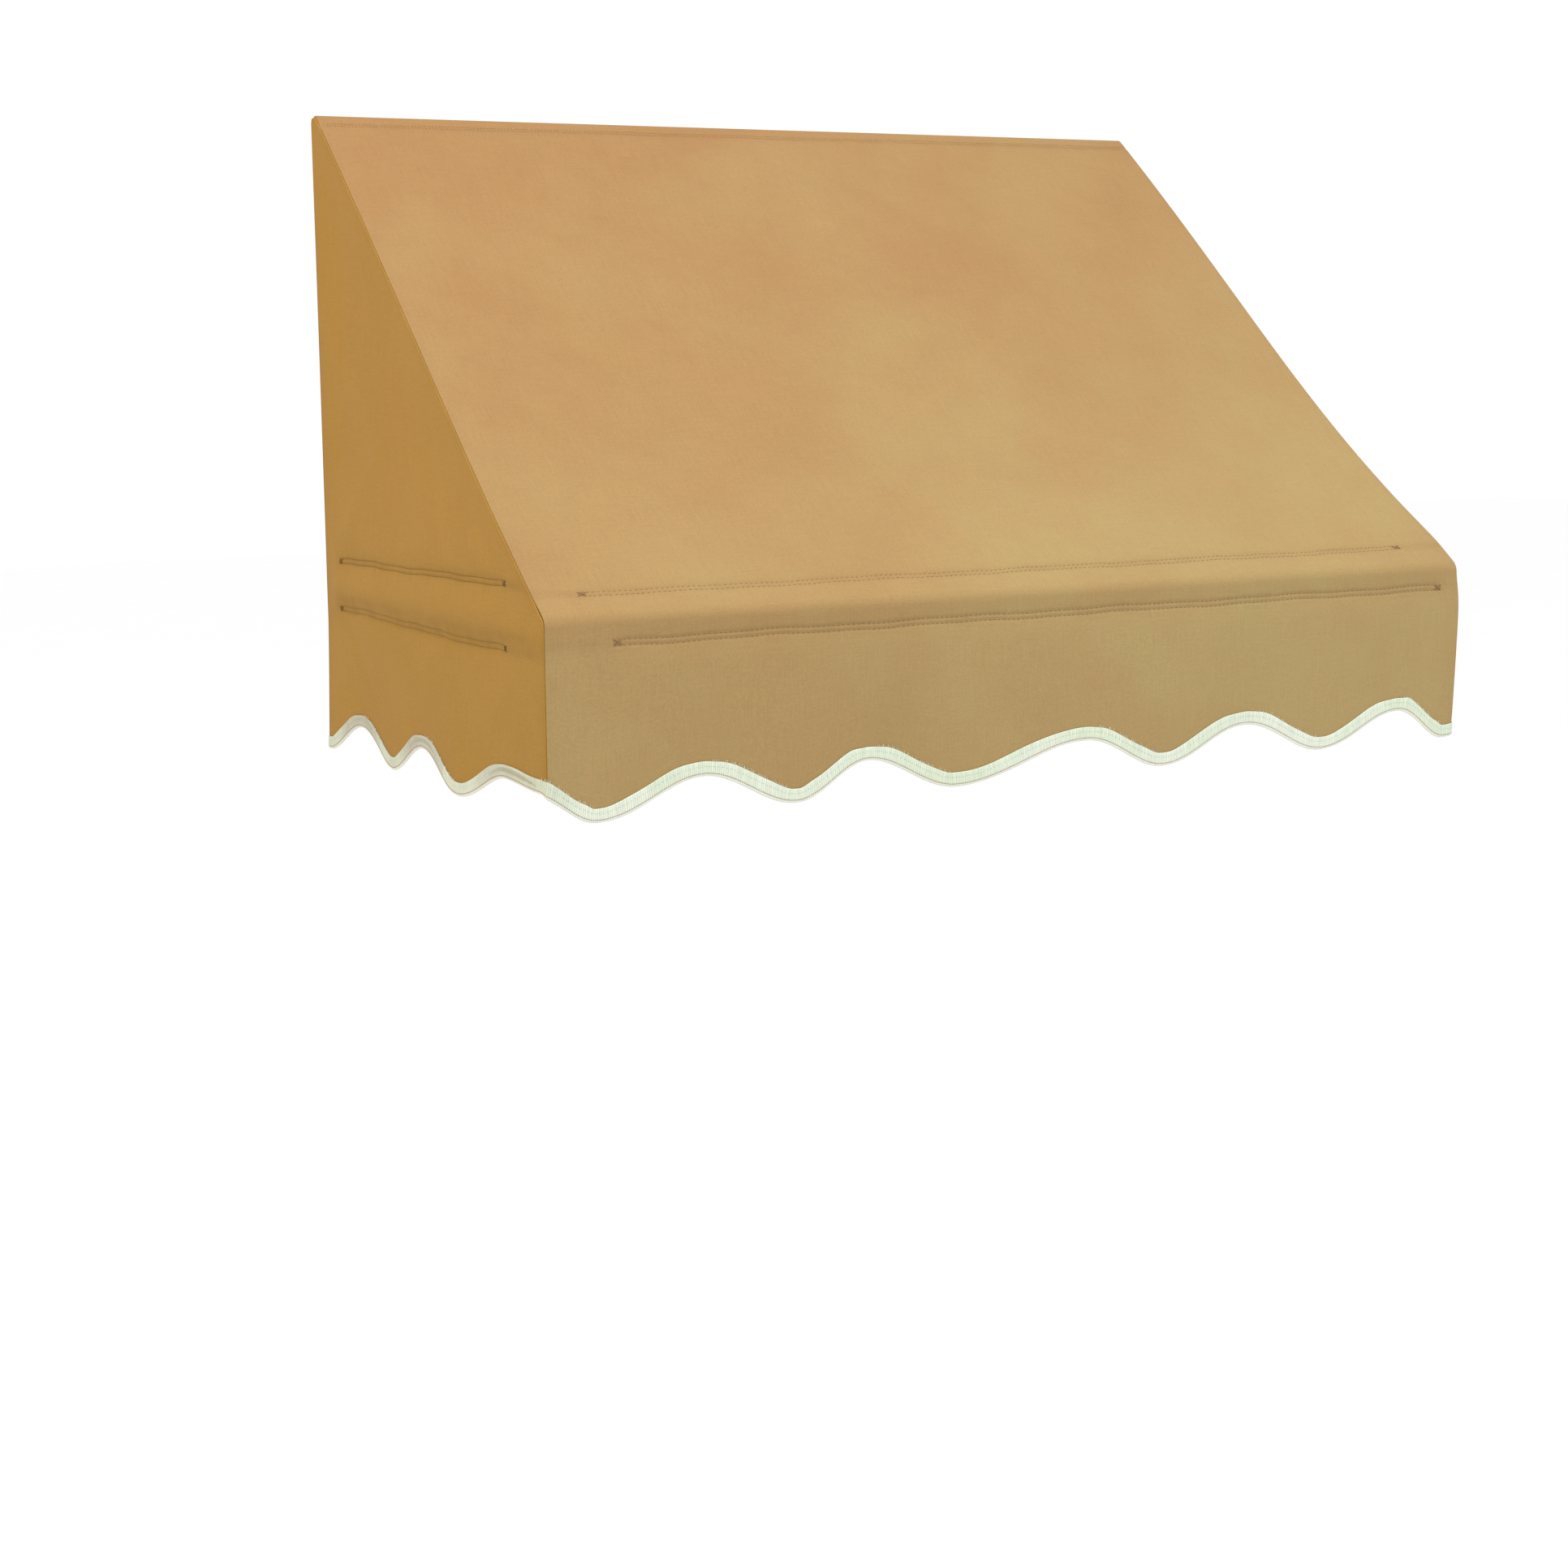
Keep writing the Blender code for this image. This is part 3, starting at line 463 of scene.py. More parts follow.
class Nodes:
    """A new material and a short way to write its nodes; levels are constants of its shader."""

    def __init__(self, name, **levels):
        self.material = bpy.data.materials.new(name)
        self.material.use_nodes = True
        self.tree = self.material.node_tree
        self.shader = self.tree.nodes["Principled BSDF"]
        for key, value in levels.items():
            self.shader.inputs[key.replace("_", " ")].default_value = value
        self.place = self.add("TexCoord").outputs["Object"]

    def put(self, value, socket):
        if isinstance(value, bpy.types.NodeSocket):
            self.tree.links.new(value, socket)
        elif isinstance(value, tuple) and socket.type == "RGBA":
            socket.default_value = (*value, 1.0)
        else:
            socket.default_value = value

    def add(self, kind, inputs=None, **settings):
        node = self.tree.nodes.new("ShaderNode" + kind)
        for key, value in settings.items():
            setattr(node, key, value)
        for key, value in (inputs or {}).items():
            self.put(value, node.inputs[key])
        return node

    def link(self, name, socket):
        self.tree.links.new(socket, self.shader.inputs[name])

    def attribute(self, name):
        return self.add("Attribute", attribute_name=name).outputs["Fac"]

    def weave(self):
        return self.add("UVMap", uv_map="weave").outputs["UV"]

    def noise(self, vector, scale, detail=3.0, roughness=0.5):
        inputs = {"Vector": vector, "Scale": scale, "Detail": detail, "Roughness": roughness}
        return self.add("TexNoise", inputs).outputs["Fac"]

    def ramp(self, value, low, high, to_low=0.0, to_high=1.0):
        inputs = {0: value, 1: low, 2: high, 3: to_low, 4: to_high}
        return self.add("MapRange", inputs, interpolation_type="SMOOTHSTEP").outputs[0]

    def times(self, first, second):
        return self.add("Math", {0: first, 1: second}, operation="MULTIPLY").outputs[0]

    def plus(self, first, second):
        return self.add("Math", {0: first, 1: second}, operation="ADD").outputs[0]

    def mix(self, factor, first, second, blend="MIX"):
        inputs = {0: factor, 6: first, 7: second}
        return self.add("Mix", inputs, data_type="RGBA", blend_type=blend).outputs[2]

    def shaded(self, colour, value):
        """The colour times a grey value."""
        grey = self.add("CombineColor", {0: value, 1: value, 2: value}).outputs[0]
        return self.mix(1.0, colour, grey, "MULTIPLY")

    def scaled(self, vector, scale):
        return self.add("Mapping", {"Vector": vector, "Scale": scale}).outputs[0]

    def bump(self, height, strength, distance, under=None):
        inputs = {"Height": height, "Strength": strength, "Distance": distance}
        if under is not None:
            inputs["Normal"] = under
        return self.add("Bump", inputs).outputs[0]


def weave_height(nodes, uv, pitch):
    """Crossed threads of a plain weave, from 0 to 1."""
    bands = []
    for direction in ("X", "Y"):
        inputs = {"Vector": uv, "Scale": 0.314 / pitch, "Distortion": 0.0}
        threads = nodes.add("TexWave", inputs, wave_type="BANDS", bands_direction=direction)
        bands.append(nodes.times(threads.outputs["Fac"], 0.5))
    return nodes.plus(*bands)


def cloth_material(name, warm, olive, pale, dust_and_shade_strength):
    """Plain-woven awning cloth: slow warm and olive clouds, yarn streaks, and seams darkened, partly
    dusty and worn, partly painted shade.
    """
    nodes = Nodes(name, Roughness=0.86, Sheen_Weight=0.03, Sheen_Roughness=0.5, Specular_IOR_Level=0.15)
    place, uv = nodes.place, nodes.weave()
    clouds = nodes.ramp(nodes.noise(place, 3.4, 4.0, 0.55), 0.30, 0.70, -0.22, 0.22)
    blotches = nodes.ramp(nodes.noise(place, 11.0, 5.0, 0.6), 0.35, 0.70)
    # On the canopy the fade attribute is partly the cloth's tint and partly painted light: darker at
    # the top left, lighter towards the bottom right.
    colour = nodes.mix(nodes.plus(nodes.attribute("fade"), clouds), warm, olive)
    colour = nodes.mix(nodes.times(blotches, 0.30), colour, pale)
    warp = nodes.noise(nodes.scaled(uv, (900.0, 22.0, 1.0)), 1.0, 2.0)
    weft = nodes.noise(nodes.scaled(uv, (22.0, 900.0, 1.0)), 1.0, 2.0)
    streaks = nodes.plus(warp, weft)
    weave = weave_height(nodes, uv, WEAVE_PITCH)
    yarns = nodes.ramp(streaks, 0.75, 1.25, 0.965, 1.035)
    shade = nodes.times(yarns, nodes.ramp(weave, 0.0, 1.0, 0.93, 1.05))
    speck = nodes.ramp(nodes.noise(place, 420.0, 2.0), 0.3, 0.7, 0.96, 1.04)
    colour = nodes.shaded(colour, nodes.times(shade, speck))
    # Painted shade, partly dirt: the seam attribute darkens the cloth in patches along sewn rows, hips
    # and edges.
    patches = nodes.ramp(nodes.noise(place, 26.0, 4.0), 0.3, 0.7, 0.35, 1.0)
    dust_and_shade = nodes.times(nodes.attribute("seam"), patches)
    dark = tuple(0.62 * c for c in warm)
    nodes.link("Base Color", nodes.mix(nodes.times(dust_and_shade, dust_and_shade_strength), colour, dark))
    coarse = nodes.bump(nodes.noise(place, 95.0, 3.0, 0.6), 0.20, 0.0006)
    fine = nodes.bump(weave, 0.35, 0.00025, coarse)
    nodes.link("Normal", nodes.bump(streaks, 0.25, 0.0002, fine))
    return nodes.material


def tape_material():
    """Ribbed binding tape, mint on the front, creamier on the sides and pale at its fold, with painted
    shade in the grooves between ribs.
    """
    nodes = Nodes("binding_tape_ribbed", Roughness=0.78, Sheen_Weight=0.10, Specular_IOR_Level=0.3)
    place = nodes.place
    clouds = nodes.ramp(nodes.noise(place, 9.0, 4.0), 0.35, 0.65)
    mint = nodes.mix(clouds, (0.45, 0.51, 0.40), (0.50, 0.54, 0.46))
    cream = nodes.mix(clouds, (0.31, 0.28, 0.23), (0.33, 0.33, 0.27))
    patches = nodes.ramp(nodes.noise(place, 22.0, 3.0), 0.25, 0.75, 0.75, 1.0)
    colour = nodes.mix(nodes.times(nodes.attribute("aged"), patches), mint, cream)
    ribs = nodes.noise(nodes.scaled(nodes.weave(), (700.0, 40.0, 1.0)), 1.0, 2.0)
    colour = nodes.shaded(colour, nodes.ramp(ribs, 0.3, 0.7, 0.90, 1.06))
    # Painted shade: the grooves between ribs are darkened and the ribs lightened.
    colour = nodes.shaded(colour, nodes.ramp(nodes.attribute("rib"), 0.0, 1.0, 0.86, 1.04))
    folded = nodes.times(nodes.attribute("fold"), 0.6)
    nodes.link("Base Color", nodes.mix(folded, colour, (0.56, 0.57, 0.52)))
    nodes.link("Normal", nodes.bump(ribs, 0.35, 0.0002))
    return nodes.material


def thread_material(name, light, dark):
    """Twisted sewing thread."""
    nodes = Nodes(name, Roughness=0.6, Specular_IOR_Level=0.15)
    inputs = {"Vector": nodes.place, "Scale": 420.0, "Distortion": 2.0}
    twist = nodes.add("TexWave", inputs, bands_direction="DIAGONAL").outputs["Fac"]
    colour = nodes.mix(nodes.noise(nodes.place, 60.0, 3.0), light, dark)
    nodes.link("Base Color", nodes.mix(nodes.ramp(twist, 0.0, 1.0, 0.0, 0.35), colour, dark))
    nodes.link("Normal", nodes.bump(twist, 0.4, 0.00008))
    return nodes.material


def powder_material():
    """White powder coat with a fine orange peel and a few grey scuffs."""
    nodes = Nodes("powder_coat_white", Roughness=0.42)
    scratches = nodes.noise(nodes.scaled(nodes.place, (14.0, 90.0, 90.0)), 1.0, 5.0, 0.7)
    scuffs = nodes.ramp(scratches, 0.60, 0.74)
    colour = nodes.mix(nodes.noise(nodes.place, 8.0, 3.0), (0.68, 0.68, 0.65), (0.76, 0.76, 0.74))
    nodes.link("Base Color", nodes.mix(nodes.times(scuffs, 0.45), colour, (0.42, 0.42, 0.41)))
    nodes.link("Roughness", nodes.ramp(scuffs, 0.0, 1.0, 0.36, 0.62))
    nodes.link("Normal", nodes.bump(nodes.noise(nodes.place, 900.0, 2.0), 0.25, 0.0002))
    return nodes.material


def plastic_material():
    """White moulded plastic with a fine spark-eroded grain and a yellowed tint in places."""
    nodes = Nodes("white_plastic_moulded", Roughness=0.5)
    tint = nodes.ramp(nodes.noise(nodes.place, 18.0, 4.0), 0.35, 0.7)
    nodes.link("Base Color", nodes.mix(tint, (0.70, 0.70, 0.67), (0.66, 0.64, 0.56)))
    nodes.link("Roughness", nodes.ramp(nodes.noise(nodes.place, 60.0, 3.0), 0.2, 0.8, 0.42, 0.6))
    nodes.link("Normal", nodes.bump(nodes.noise(nodes.place, 1600.0, 2.0), 0.3, 0.00015))
    return nodes.material


def zinc_material():
    """Bright zinc plate: cool grey with a yellowish bloom, rolling lines and dull patches."""
    nodes = Nodes("zinc_plate_bright", Roughness=0.35, Metallic=1.0)
    bloom = nodes.ramp(nodes.noise(nodes.place, 35.0, 5.0, 0.65), 0.35, 0.7)
    colour = nodes.mix(bloom, (0.58, 0.59, 0.61), (0.50, 0.48, 0.42))
    spangle = nodes.add("TexVoronoi", {"Vector": nodes.place, "Scale": 260.0}).outputs["Distance"]
    dull = nodes.ramp(spangle, 0.0, 0.6, 0.0, 0.25)
    nodes.link("Base Color", nodes.mix(dull, colour, (0.40, 0.41, 0.44)))
    nodes.link("Roughness", nodes.ramp(bloom, 0.0, 1.0, 0.28, 0.55))
    lines = nodes.noise(nodes.scaled(nodes.place, (900.0, 900.0, 60.0)), 1.0, 3.0)
    nodes.link("Normal", nodes.bump(lines, 0.2, 0.0001))
    return nodes.material


CANOPY = cloth_material(
    "canopy_cloth_woven", (0.232, 0.128, 0.049), (0.259, 0.190, 0.078), (0.260, 0.155, 0.063), 0.20
)
# The side's seams take more painted shade and dirt (0.42) than the canopy's (0.20).
SIDE = cloth_material(
    "side_cloth_woven", (0.258, 0.137, 0.022), (0.240, 0.134, 0.021), (0.276, 0.153, 0.031), 0.42
)
TAPE_MATERIAL = tape_material()
THREAD = thread_material("thread_brown", (0.215, 0.118, 0.052), (0.155, 0.081, 0.035))
SIDE_THREAD = thread_material("thread_olive", (0.150, 0.086, 0.022), (0.095, 0.052, 0.012))
TICK_THREAD = thread_material("thread_grey", (0.44, 0.42, 0.34), (0.34, 0.32, 0.24))
TAPE_THREAD = thread_material("thread_cream", (0.58, 0.57, 0.48), (0.44, 0.42, 0.33))
LINE_THREAD = thread_material("thread_pink", (0.36, 0.22, 0.16), (0.26, 0.15, 0.10))
POWDER = powder_material()
PLASTIC = plastic_material()
ZINC = zinc_material()

# ---------------- canopy cloth


def lip_columns():
    """(inward across, inward normal) of the turned seam edge, from the flat cloth to the flange."""
    setback = SEAM_LIP / math.tan(math.radians(22.5))
    angles = np.radians([0, 30, 60, 90, 115, 135])
    across = setback - SEAM_LIP * np.sin(angles)
    depth = SEAM_LIP - SEAM_LIP * np.cos(angles)
    run = np.array([0.25, 0.6, 1.0]) * SEAM_FLANGE * math.sqrt(0.5)
    across = np.concatenate([across, across[-1] + 0.0001 + run])
    depth = np.concatenate([depth, depth[-1] + run])
    return across, depth


LIP_ACROSS, LIP_DEPTH = lip_columns()
LIP_SETBACK = LIP_ACROSS[0]


def profile_rows():
    """Distances down the profile to below the lower seams, closest together at the sewn rows."""
    corner = SLOPE + FOLD_CORNER
    below = SLOPE + FOLD_ARC - FOLD_CORNER
    return stations(
        -HEM_R * NORMAL * 0.98,
        *((0, 0.0028), (HEM_TUNNEL + 0.010, 0.0025), (corner - 0.062, 0.0125)),
        *((corner - 0.028, 0.0015), (SLOPE, 0.0030), (SLOPE + FOLD_ARC, 0.0022)),
        *((below + 0.018, 0.0030), (below + 0.056, 0.0015)),
    )


# Shares of the way from the end of the profile rows down to the scalloped edge.
VALANCE_SHARES = spaced(0, 1, 0.055)[1:, None]


def tucked(place, edge):
    """Rounds a sewn corner in plan and gathers its seam allowance where the tape holds it."""
    r, fold = TAPE_CORNER, 0.0012
    weight = smooth(edge + TAPE_UP + 0.012 - place[..., 2], 0.0, 0.010)
    out_x = np.abs(place[..., 0]) - (HALF - r)
    out_y = -place[..., 1] - (PROJECTION - r)
    depth = np.clip(r - np.maximum(out_x, out_y), 0, fold)
    allowance = np.maximum(out_x, out_y) < r - fold
    new_x = np.where(allowance, r - fold, out_x)
    new_y = np.where(allowance, r - fold, out_y)
    corner = (new_x > 0) & (new_y > 0)
    shrink = np.minimum((r - depth) / np.maximum(np.hypot(new_x, new_y), 1e-6), 1)
    new_x = np.where(corner, new_x * shrink, new_x)
    new_y = np.where(corner, new_y * shrink, new_y)
    moved = place.copy()
    moved[..., 0] += np.sign(place[..., 0]) * weight * (new_x - out_x)
    moved[..., 1] -= weight * (new_y - out_y)
    return moved


def hem_leaf():
    """(y, z) and normals of the hem's inner leaf, from its raw edge to the wall side of the rod."""
    seam = SLOPE_TOP + DOWN * HEM_TUNNEL - OUT * UNDER
    offset = seam - ROD
    leaves = math.atan2(offset[1], offset[0]) + math.acos(HEM_R / math.hypot(*offset))
    start = leaves - 2 * math.pi * math.ceil((leaves - NORMAL) / (2 * math.pi))
    angles = spaced(start, NORMAL * 0.02, 0.26)[:-1]
    normal = np.stack([np.cos(angles), np.sin(angles)], -1)
    round_rod = ROD + HEM_R * normal
    margin = seam + DOWN * np.array([[HEM_MARGIN], [0.004], [0.0]])
    flat = np.repeat(-OUT[None], 3, 0)
    return np.concatenate([margin, round_rod]), np.concatenate([flat, normal])


def seam_dust_and_shade_front(x, s):
    """Where the canopy cloth is darkened along the sewn rows, the fold and the hips: partly dusty,
    partly painted shade in these creases.
    """
    upper, lower = off_front_rows(x, s)
    rows = bell(upper, 0.007) + bell(lower, 0.007) + bell(s - HEM_TUNNEL, 0.006)
    hips = np.exp(-(HALF - np.abs(x)) / 0.007)
    return np.clip(rows + 0.8 * hips, 0, 1)


def tint_and_painted_light(x, s):
    """How far the cloth goes from warm to olive, from the top left to the bottom right: partly its
    tint, partly painted light that darkens the top left and lightens the lower right.
    """
    v = np.clip(s / SLOPE, 0, 1)
    across = x / WIDTH + 0.5
    return 0.40 * v**0.8 + 0.45 * across * (0.3 + 0.7 * v) + 0.24 * smooth(s, SLOPE, SLOPE + 0.06)


def make_canopy():
    leaf, leaf_normal = hem_leaf()
    rows = profile_rows()
    outer, normal = profile(rows)
    flat_half = HALF - LIP_SETBACK
    end = flat_half - 0.012
    x = stations(-flat_half, (-end, 0.003), (end, 0.0052), (flat_half, 0.003))
    left = -HALF + LIP_ACROSS[:0:-1]
    across = np.concatenate([left, x, -left[::-1]])
    depth = np.concatenate([LIP_DEPTH[:0:-1], np.zeros(len(x)), LIP_DEPTH[1:]])
    spread = np.arange(len(left), 0, -1) * 0.00025
    plain = np.concatenate([x[0] - spread, x, x[-1] + spread[::-1]])

    bottom_z = edge_height(edge_distance(np.clip(across, -HALF, HALF), 0, 0))
    base_yz = np.concatenate([leaf, outer])
    base_normal = np.concatenate([leaf_normal, normal])
    curl = smooth(np.concatenate([np.full(len(leaf), -1.0), rows]), -0.020, -0.008)[:, None]
    gx = plain * (1 - curl) + across * curl
    gy = base_yz[:, :1] - base_normal[:, :1] * depth * curl
    gz = base_yz[:, 1:] - base_normal[:, 1:] * depth * curl
    last_z = outer[-1, 1]
    hang_z = last_z + VALANCE_SHARES * (bottom_z - last_z)
    taut = np.concatenate([points(gx, gy, gz), points(across, -PROJECTION + depth, hang_z)])
    taut = tucked(taut, bottom_z)
    hang_s = rows[-1] + VALANCE_SHARES[:, 0] * (last_z - LOW_EDGE_Z)
    leaf_s = -0.02 - 0.0026 * np.arange(len(leaf))[::-1]
    s_all = np.concatenate([leaf_s, rows, hang_s])[:, None]
    values = {"seam": seam_dust_and_shade_front(across, s_all), "fade": tint_and_painted_light(across, s_all)}

    # Only the outer cloth is relieved; the hem's inner leaf follows the rod as it is.
    hung = drape(taut)
    plain_hang = drape(taut, on_cloth=False)
    blend = smooth(np.arange(len(taut)) - len(leaf), 0, 8)[:, None, None]
    hung += (1 - blend) * (plain_hang - hung)
    kept = clear_of_hooks(taut)
    uv = weave_uv(across, s_all)
    return make_sheet("canopy_cloth_top", hung, CANOPY, uv, values, True, kept=kept)


def clear_of_hooks(taut):
    """Which faces of the canopy grid are kept: the hem is cut out where each hook goes in."""
    centre = (taut[:-1, :-1] + taut[1:, :-1] + taut[:-1, 1:] + taut[1:, 1:]).reshape(-1, 3) / 4
    top = ROD[1] - 0.003
    low = (centre[:, 1] > ROD[0] - 0.002) & (centre[:, 2] < top) & (centre[:, 2] > top - 0.013)
    beside = np.abs(centre[:, :1] - HOOK_X).min(1) < 0.0125
    return ~(low & beside)


def make_side(side):
    """One side panel: rows run from the wall to the hip or to the front corner."""
    rows = profile_rows()
    rows = rows[rows > -HEM_R * (NORMAL - math.radians(97))]
    hip, normal = profile(rows)
    inner = hip - normal * LIP_SETBACK
    above = np.clip(inner[:, 1] - ROD[1], 0, None)
    wall_y = np.where(
        above > 0, ROD[0] + np.sqrt(np.maximum(HEM_R**2 - above**2, 1e-8)), WALL_EDGE_Y
    )
    columns = np.linspace(0, 1, SIDE_COLUMNS)
    upper_y = wall_y[:, None] + (inner[:, :1] - wall_y[:, None]) * columns
    upper_z = np.broadcast_to(inner[:, 1:], upper_y.shape)
    lips = hip[:, None] - normal[:, None] * LIP_ACROSS[1:, None]
    front = -PROJECTION + LIP_ACROSS
    low_y = np.concatenate([WALL_EDGE_Y + (front[0] - WALL_EDGE_Y) * columns, front[1:]])
    last_z = hip[-1, 1]
    low_z = last_z + VALANCE_SHARES * (edge_height(edge_distance(0, low_y, side)) - last_z)
    low_y = np.broadcast_to(low_y, low_z.shape)
    y = np.concatenate([np.hstack([upper_y, lips[..., 0]]), low_y])
    z = np.concatenate([np.hstack([upper_z, lips[..., 1]]), low_z])
    inset = np.concatenate([np.zeros(SIDE_COLUMNS), LIP_DEPTH[1:]])
    taut = points(side * (HALF - inset), y, z)
    taut = tucked(taut, edge_height(edge_distance(0, np.clip(y, -PROJECTION, 0), side)))
    upper, lower = off_side_rows(y, z, side)
    # Darkened along the double rows, partly dusty and partly painted shade; the band just above the
    # lower row is painted shade under the arm's bulge.
    rows_dust_and_shade = bell(upper, 0.006) + bell(lower, 0.006) + 0.9 * bell(lower - 0.013, 0.008)
    rows_dust_and_shade = rows_dust_and_shade * smooth(-y, 0.03, 0.07)
    front_edge = np.concatenate([hip[:, 0], np.full(len(low_y), -PROJECTION)])[:, None]
    # Darker near the front edge and the wall edge: painted shade, partly dirt.
    edges = 0.8 * np.exp((front_edge - y) / 0.009) + 0.6 * np.exp((y - WALL_EDGE_Y) / 0.009)
    fade = smooth(BAR[1] + 0.10 - z, 0.0, 0.12) * 0.3
    values = {"seam": np.clip(rows_dust_and_shade + edges, 0, 1), "fade": fade}
    name = "side_cloth_left" if side < 0 else "side_cloth_right"
    return make_sheet(name, drape(taut, side), SIDE, weave_uv(-y, z), values, side < 0)


# ---------------- sleeves


def sleeve_line(centre, radius, upper, lower, sign):
    """A strip's line from its upper margin round the far side of a tube to its lower margin."""
    centre = np.array(centre)
    ends = []
    for place, turn in ((upper, -sign), (lower, sign)):
        offset = np.array(place) - centre
        reach = math.acos(radius / math.hypot(*offset))
        ends.append(math.atan2(offset[1], offset[0]) + turn * reach)
    sweep = (ends[1] - ends[0]) * -sign
    sweep = sweep % (2 * math.pi)
    angles = ends[0] - sign * np.linspace(0, sweep, 26)
    return centre + radius * np.stack([np.cos(angles), np.sin(angles)], -1)


def add_tails(line, upper, lower, upper_tail, lower_tail):
    """Straight runs from the arc to both seams, and the margins beyond them."""
    parts = [np.linspace(upper_tail, upper, 4)[:-1], np.linspace(upper, line[0], 7)[:-1], line]
    parts += [np.linspace(line[-1], lower, 7)[1:], np.linspace(lower, lower_tail, 4)[1:]]
    return np.concatenate(parts)


def make_front_sleeve():
    low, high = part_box("front_bar_sleeve")
    corner = np.array([-PROJECTION, FOLD_Z])
    upper = corner - DOWN * (FRONT_UP + ROW_GAP / 2) - OUT * INNER
    lower = np.array([-PROJECTION + INNER, FOLD_Z - FRONT_DOWN - ROW_GAP / 2])
    line = sleeve_line(BAR, SLEEVE_R, upper, lower, 1)
    margins = upper - DOWN * SLEEVE_MARGIN, lower - np.array([0, SLEEVE_MARGIN])
    line = add_tails(line, upper, lower, *margins)
    x = spaced(low.x, high.x, SLEEVE_STEP)
    taut = points(x[None, :], line[:, :1], line[:, 1:])
    hung = drape(taut, on_cloth=False)
    reach = np.linalg.norm(line - BAR, axis=1) - SLEEVE_R
    sewn = smooth(reach, 0.004, 0.014)[:, None]
    on_slope = line[:, 1:] > BAR[1]
    s_slope = (line - SLOPE_TOP) @ DOWN
    s_here = np.where(on_slope, s_slope[:, None], SLOPE + FOLD_ARC + BAR[1] - line[:, 1:])
    relief = front_relief(x[None, :], s_here) * sewn
    normal = np.where(on_slope, OUT, np.array([-1.0, 0.0]))
    hung[..., 1:] += relief[..., None] * normal[:, None]
    slack = 0.0007 * wave(x, 0.19, 0.2) + 0.0005 * wave(x, 0.071, 0.7)
    away = (line - BAR) / np.linalg.norm(line - BAR, axis=1)[:, None]
    hung[..., 1:] += ((1 - sewn) * np.maximum(slack, -0.0004))[..., None] * away[:, None]
    uv = weave_uv(x, run_lengths(line)[:, None])
    # Darkened along the seams the strip is sewn into: partly dusty, partly painted shade.
    values = {"seam": bell(reach - 0.018, 0.006)[:, None], "fade": 0.6}
    return make_sheet("front_sleeve_cloth", hung, CANOPY, uv, values, True)


def arm_sleeve_line(y, side):
    """(x, z) line of an arm's sleeve at one y, for the right side."""
    face = HALF - INNER
    middle = SIDE_SEAM + ROW_GAP / 2
    upper = (face, BAR[1] + middle + float(side_wander(y, side, True)))
    lower = (face, BAR[1] - middle + float(side_wander(y, side, False)))
    line = sleeve_line((ARM_X, BAR[1]), SLEEVE_R, upper, lower, -1)
    margins = (face, upper[1] + SLEEVE_MARGIN), (face, lower[1] - SLEEVE_MARGIN)
    return add_tails(line, upper, lower, *margins)


def make_arm_sleeve(side):
    word = "left" if side < 0 else "right"
    low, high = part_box(f"arm_sleeve_{word}")
    y = spaced(high.y, low.y, SLEEVE_STEP)
    line = np.stack([arm_sleeve_line(value, side) for value in y], 1)
    taut = points(side * line[..., 0], y[None, :], line[..., 1])
    hung = drape(taut, side, on_cloth=False)
    face = HALF - INNER
    sewn = smooth(line[..., 0], face - 0.012, face - 0.001)
    hung[..., 0] += side * sewn * side_relief(y[None, :], line[..., 1], side)
    uv = weave_uv(y, run_lengths(line))
    # Darkened where the strip lies sewn against the panel: partly dusty, partly painted shade.
    values = {"seam": bell(face - line[..., 0], 0.004), "fade": 0.2}
    return make_sheet(f"arm_sleeve_cloth_{word}", hung, SIDE, uv, values, side < 0)


# ---------------- edge tape


def skirt_path(d):
    """Point in plan on the cloth's middle and outward direction, at developed distances."""
    half, front = HALF - CLOTH / 2, PROJECTION - CLOTH / 2
    r = TAPE_CORNER
    x = np.clip(d - PROJECTION - HALF, -half + r, half - r)
    y = np.clip(np.where(d < PROJECTION + HALF, -d, d - EDGE_LENGTH), -front + r, 0)
    turned = np.clip((d - (PROJECTION - r)) / (2 * r), 0, 1)
    turned = turned + np.clip((d - (PROJECTION + WIDTH - r)) / (2 * r), 0, 1)
    angle = np.pi + np.pi / 2 * turned
    outward = np.stack([np.cos(angle), np.sin(angle)], -1)
    return np.stack([x, y], -1) + r * outward, outward


def drape_skirt(place, d):
    """drape() for pieces that run round the corners, by the panel that each point lies on."""
    hung = drape(place, 0)
    for side, on in ((-1, d < PROJECTION), (1, d > PROJECTION + WIDTH)):
        hung[on] = drape(place[on], side)
    return hung


def tape_section():
    """(across, height, fold) round the folded tape, from the outer top edge to the inner one."""
    outer = CLOTH / 2 + TAPE_OFF + TAPE
    heights = np.array([1.0, 0.92, 0.72, 0.5, 0.28, 0.09]) * TAPE_UP
    side = [(outer, h, 0.0) for h in heights]
    angles = np.radians([12, 50, 90, 130, 168])
    turn = [(outer * math.cos(a), -TAPE_DOWN * math.sin(a) - 0.0002, 1.0) for a in angles]
    inner = [(-outer, h, 0.0) for h in heights[::-1]]
    return np.array(side + turn + inner)


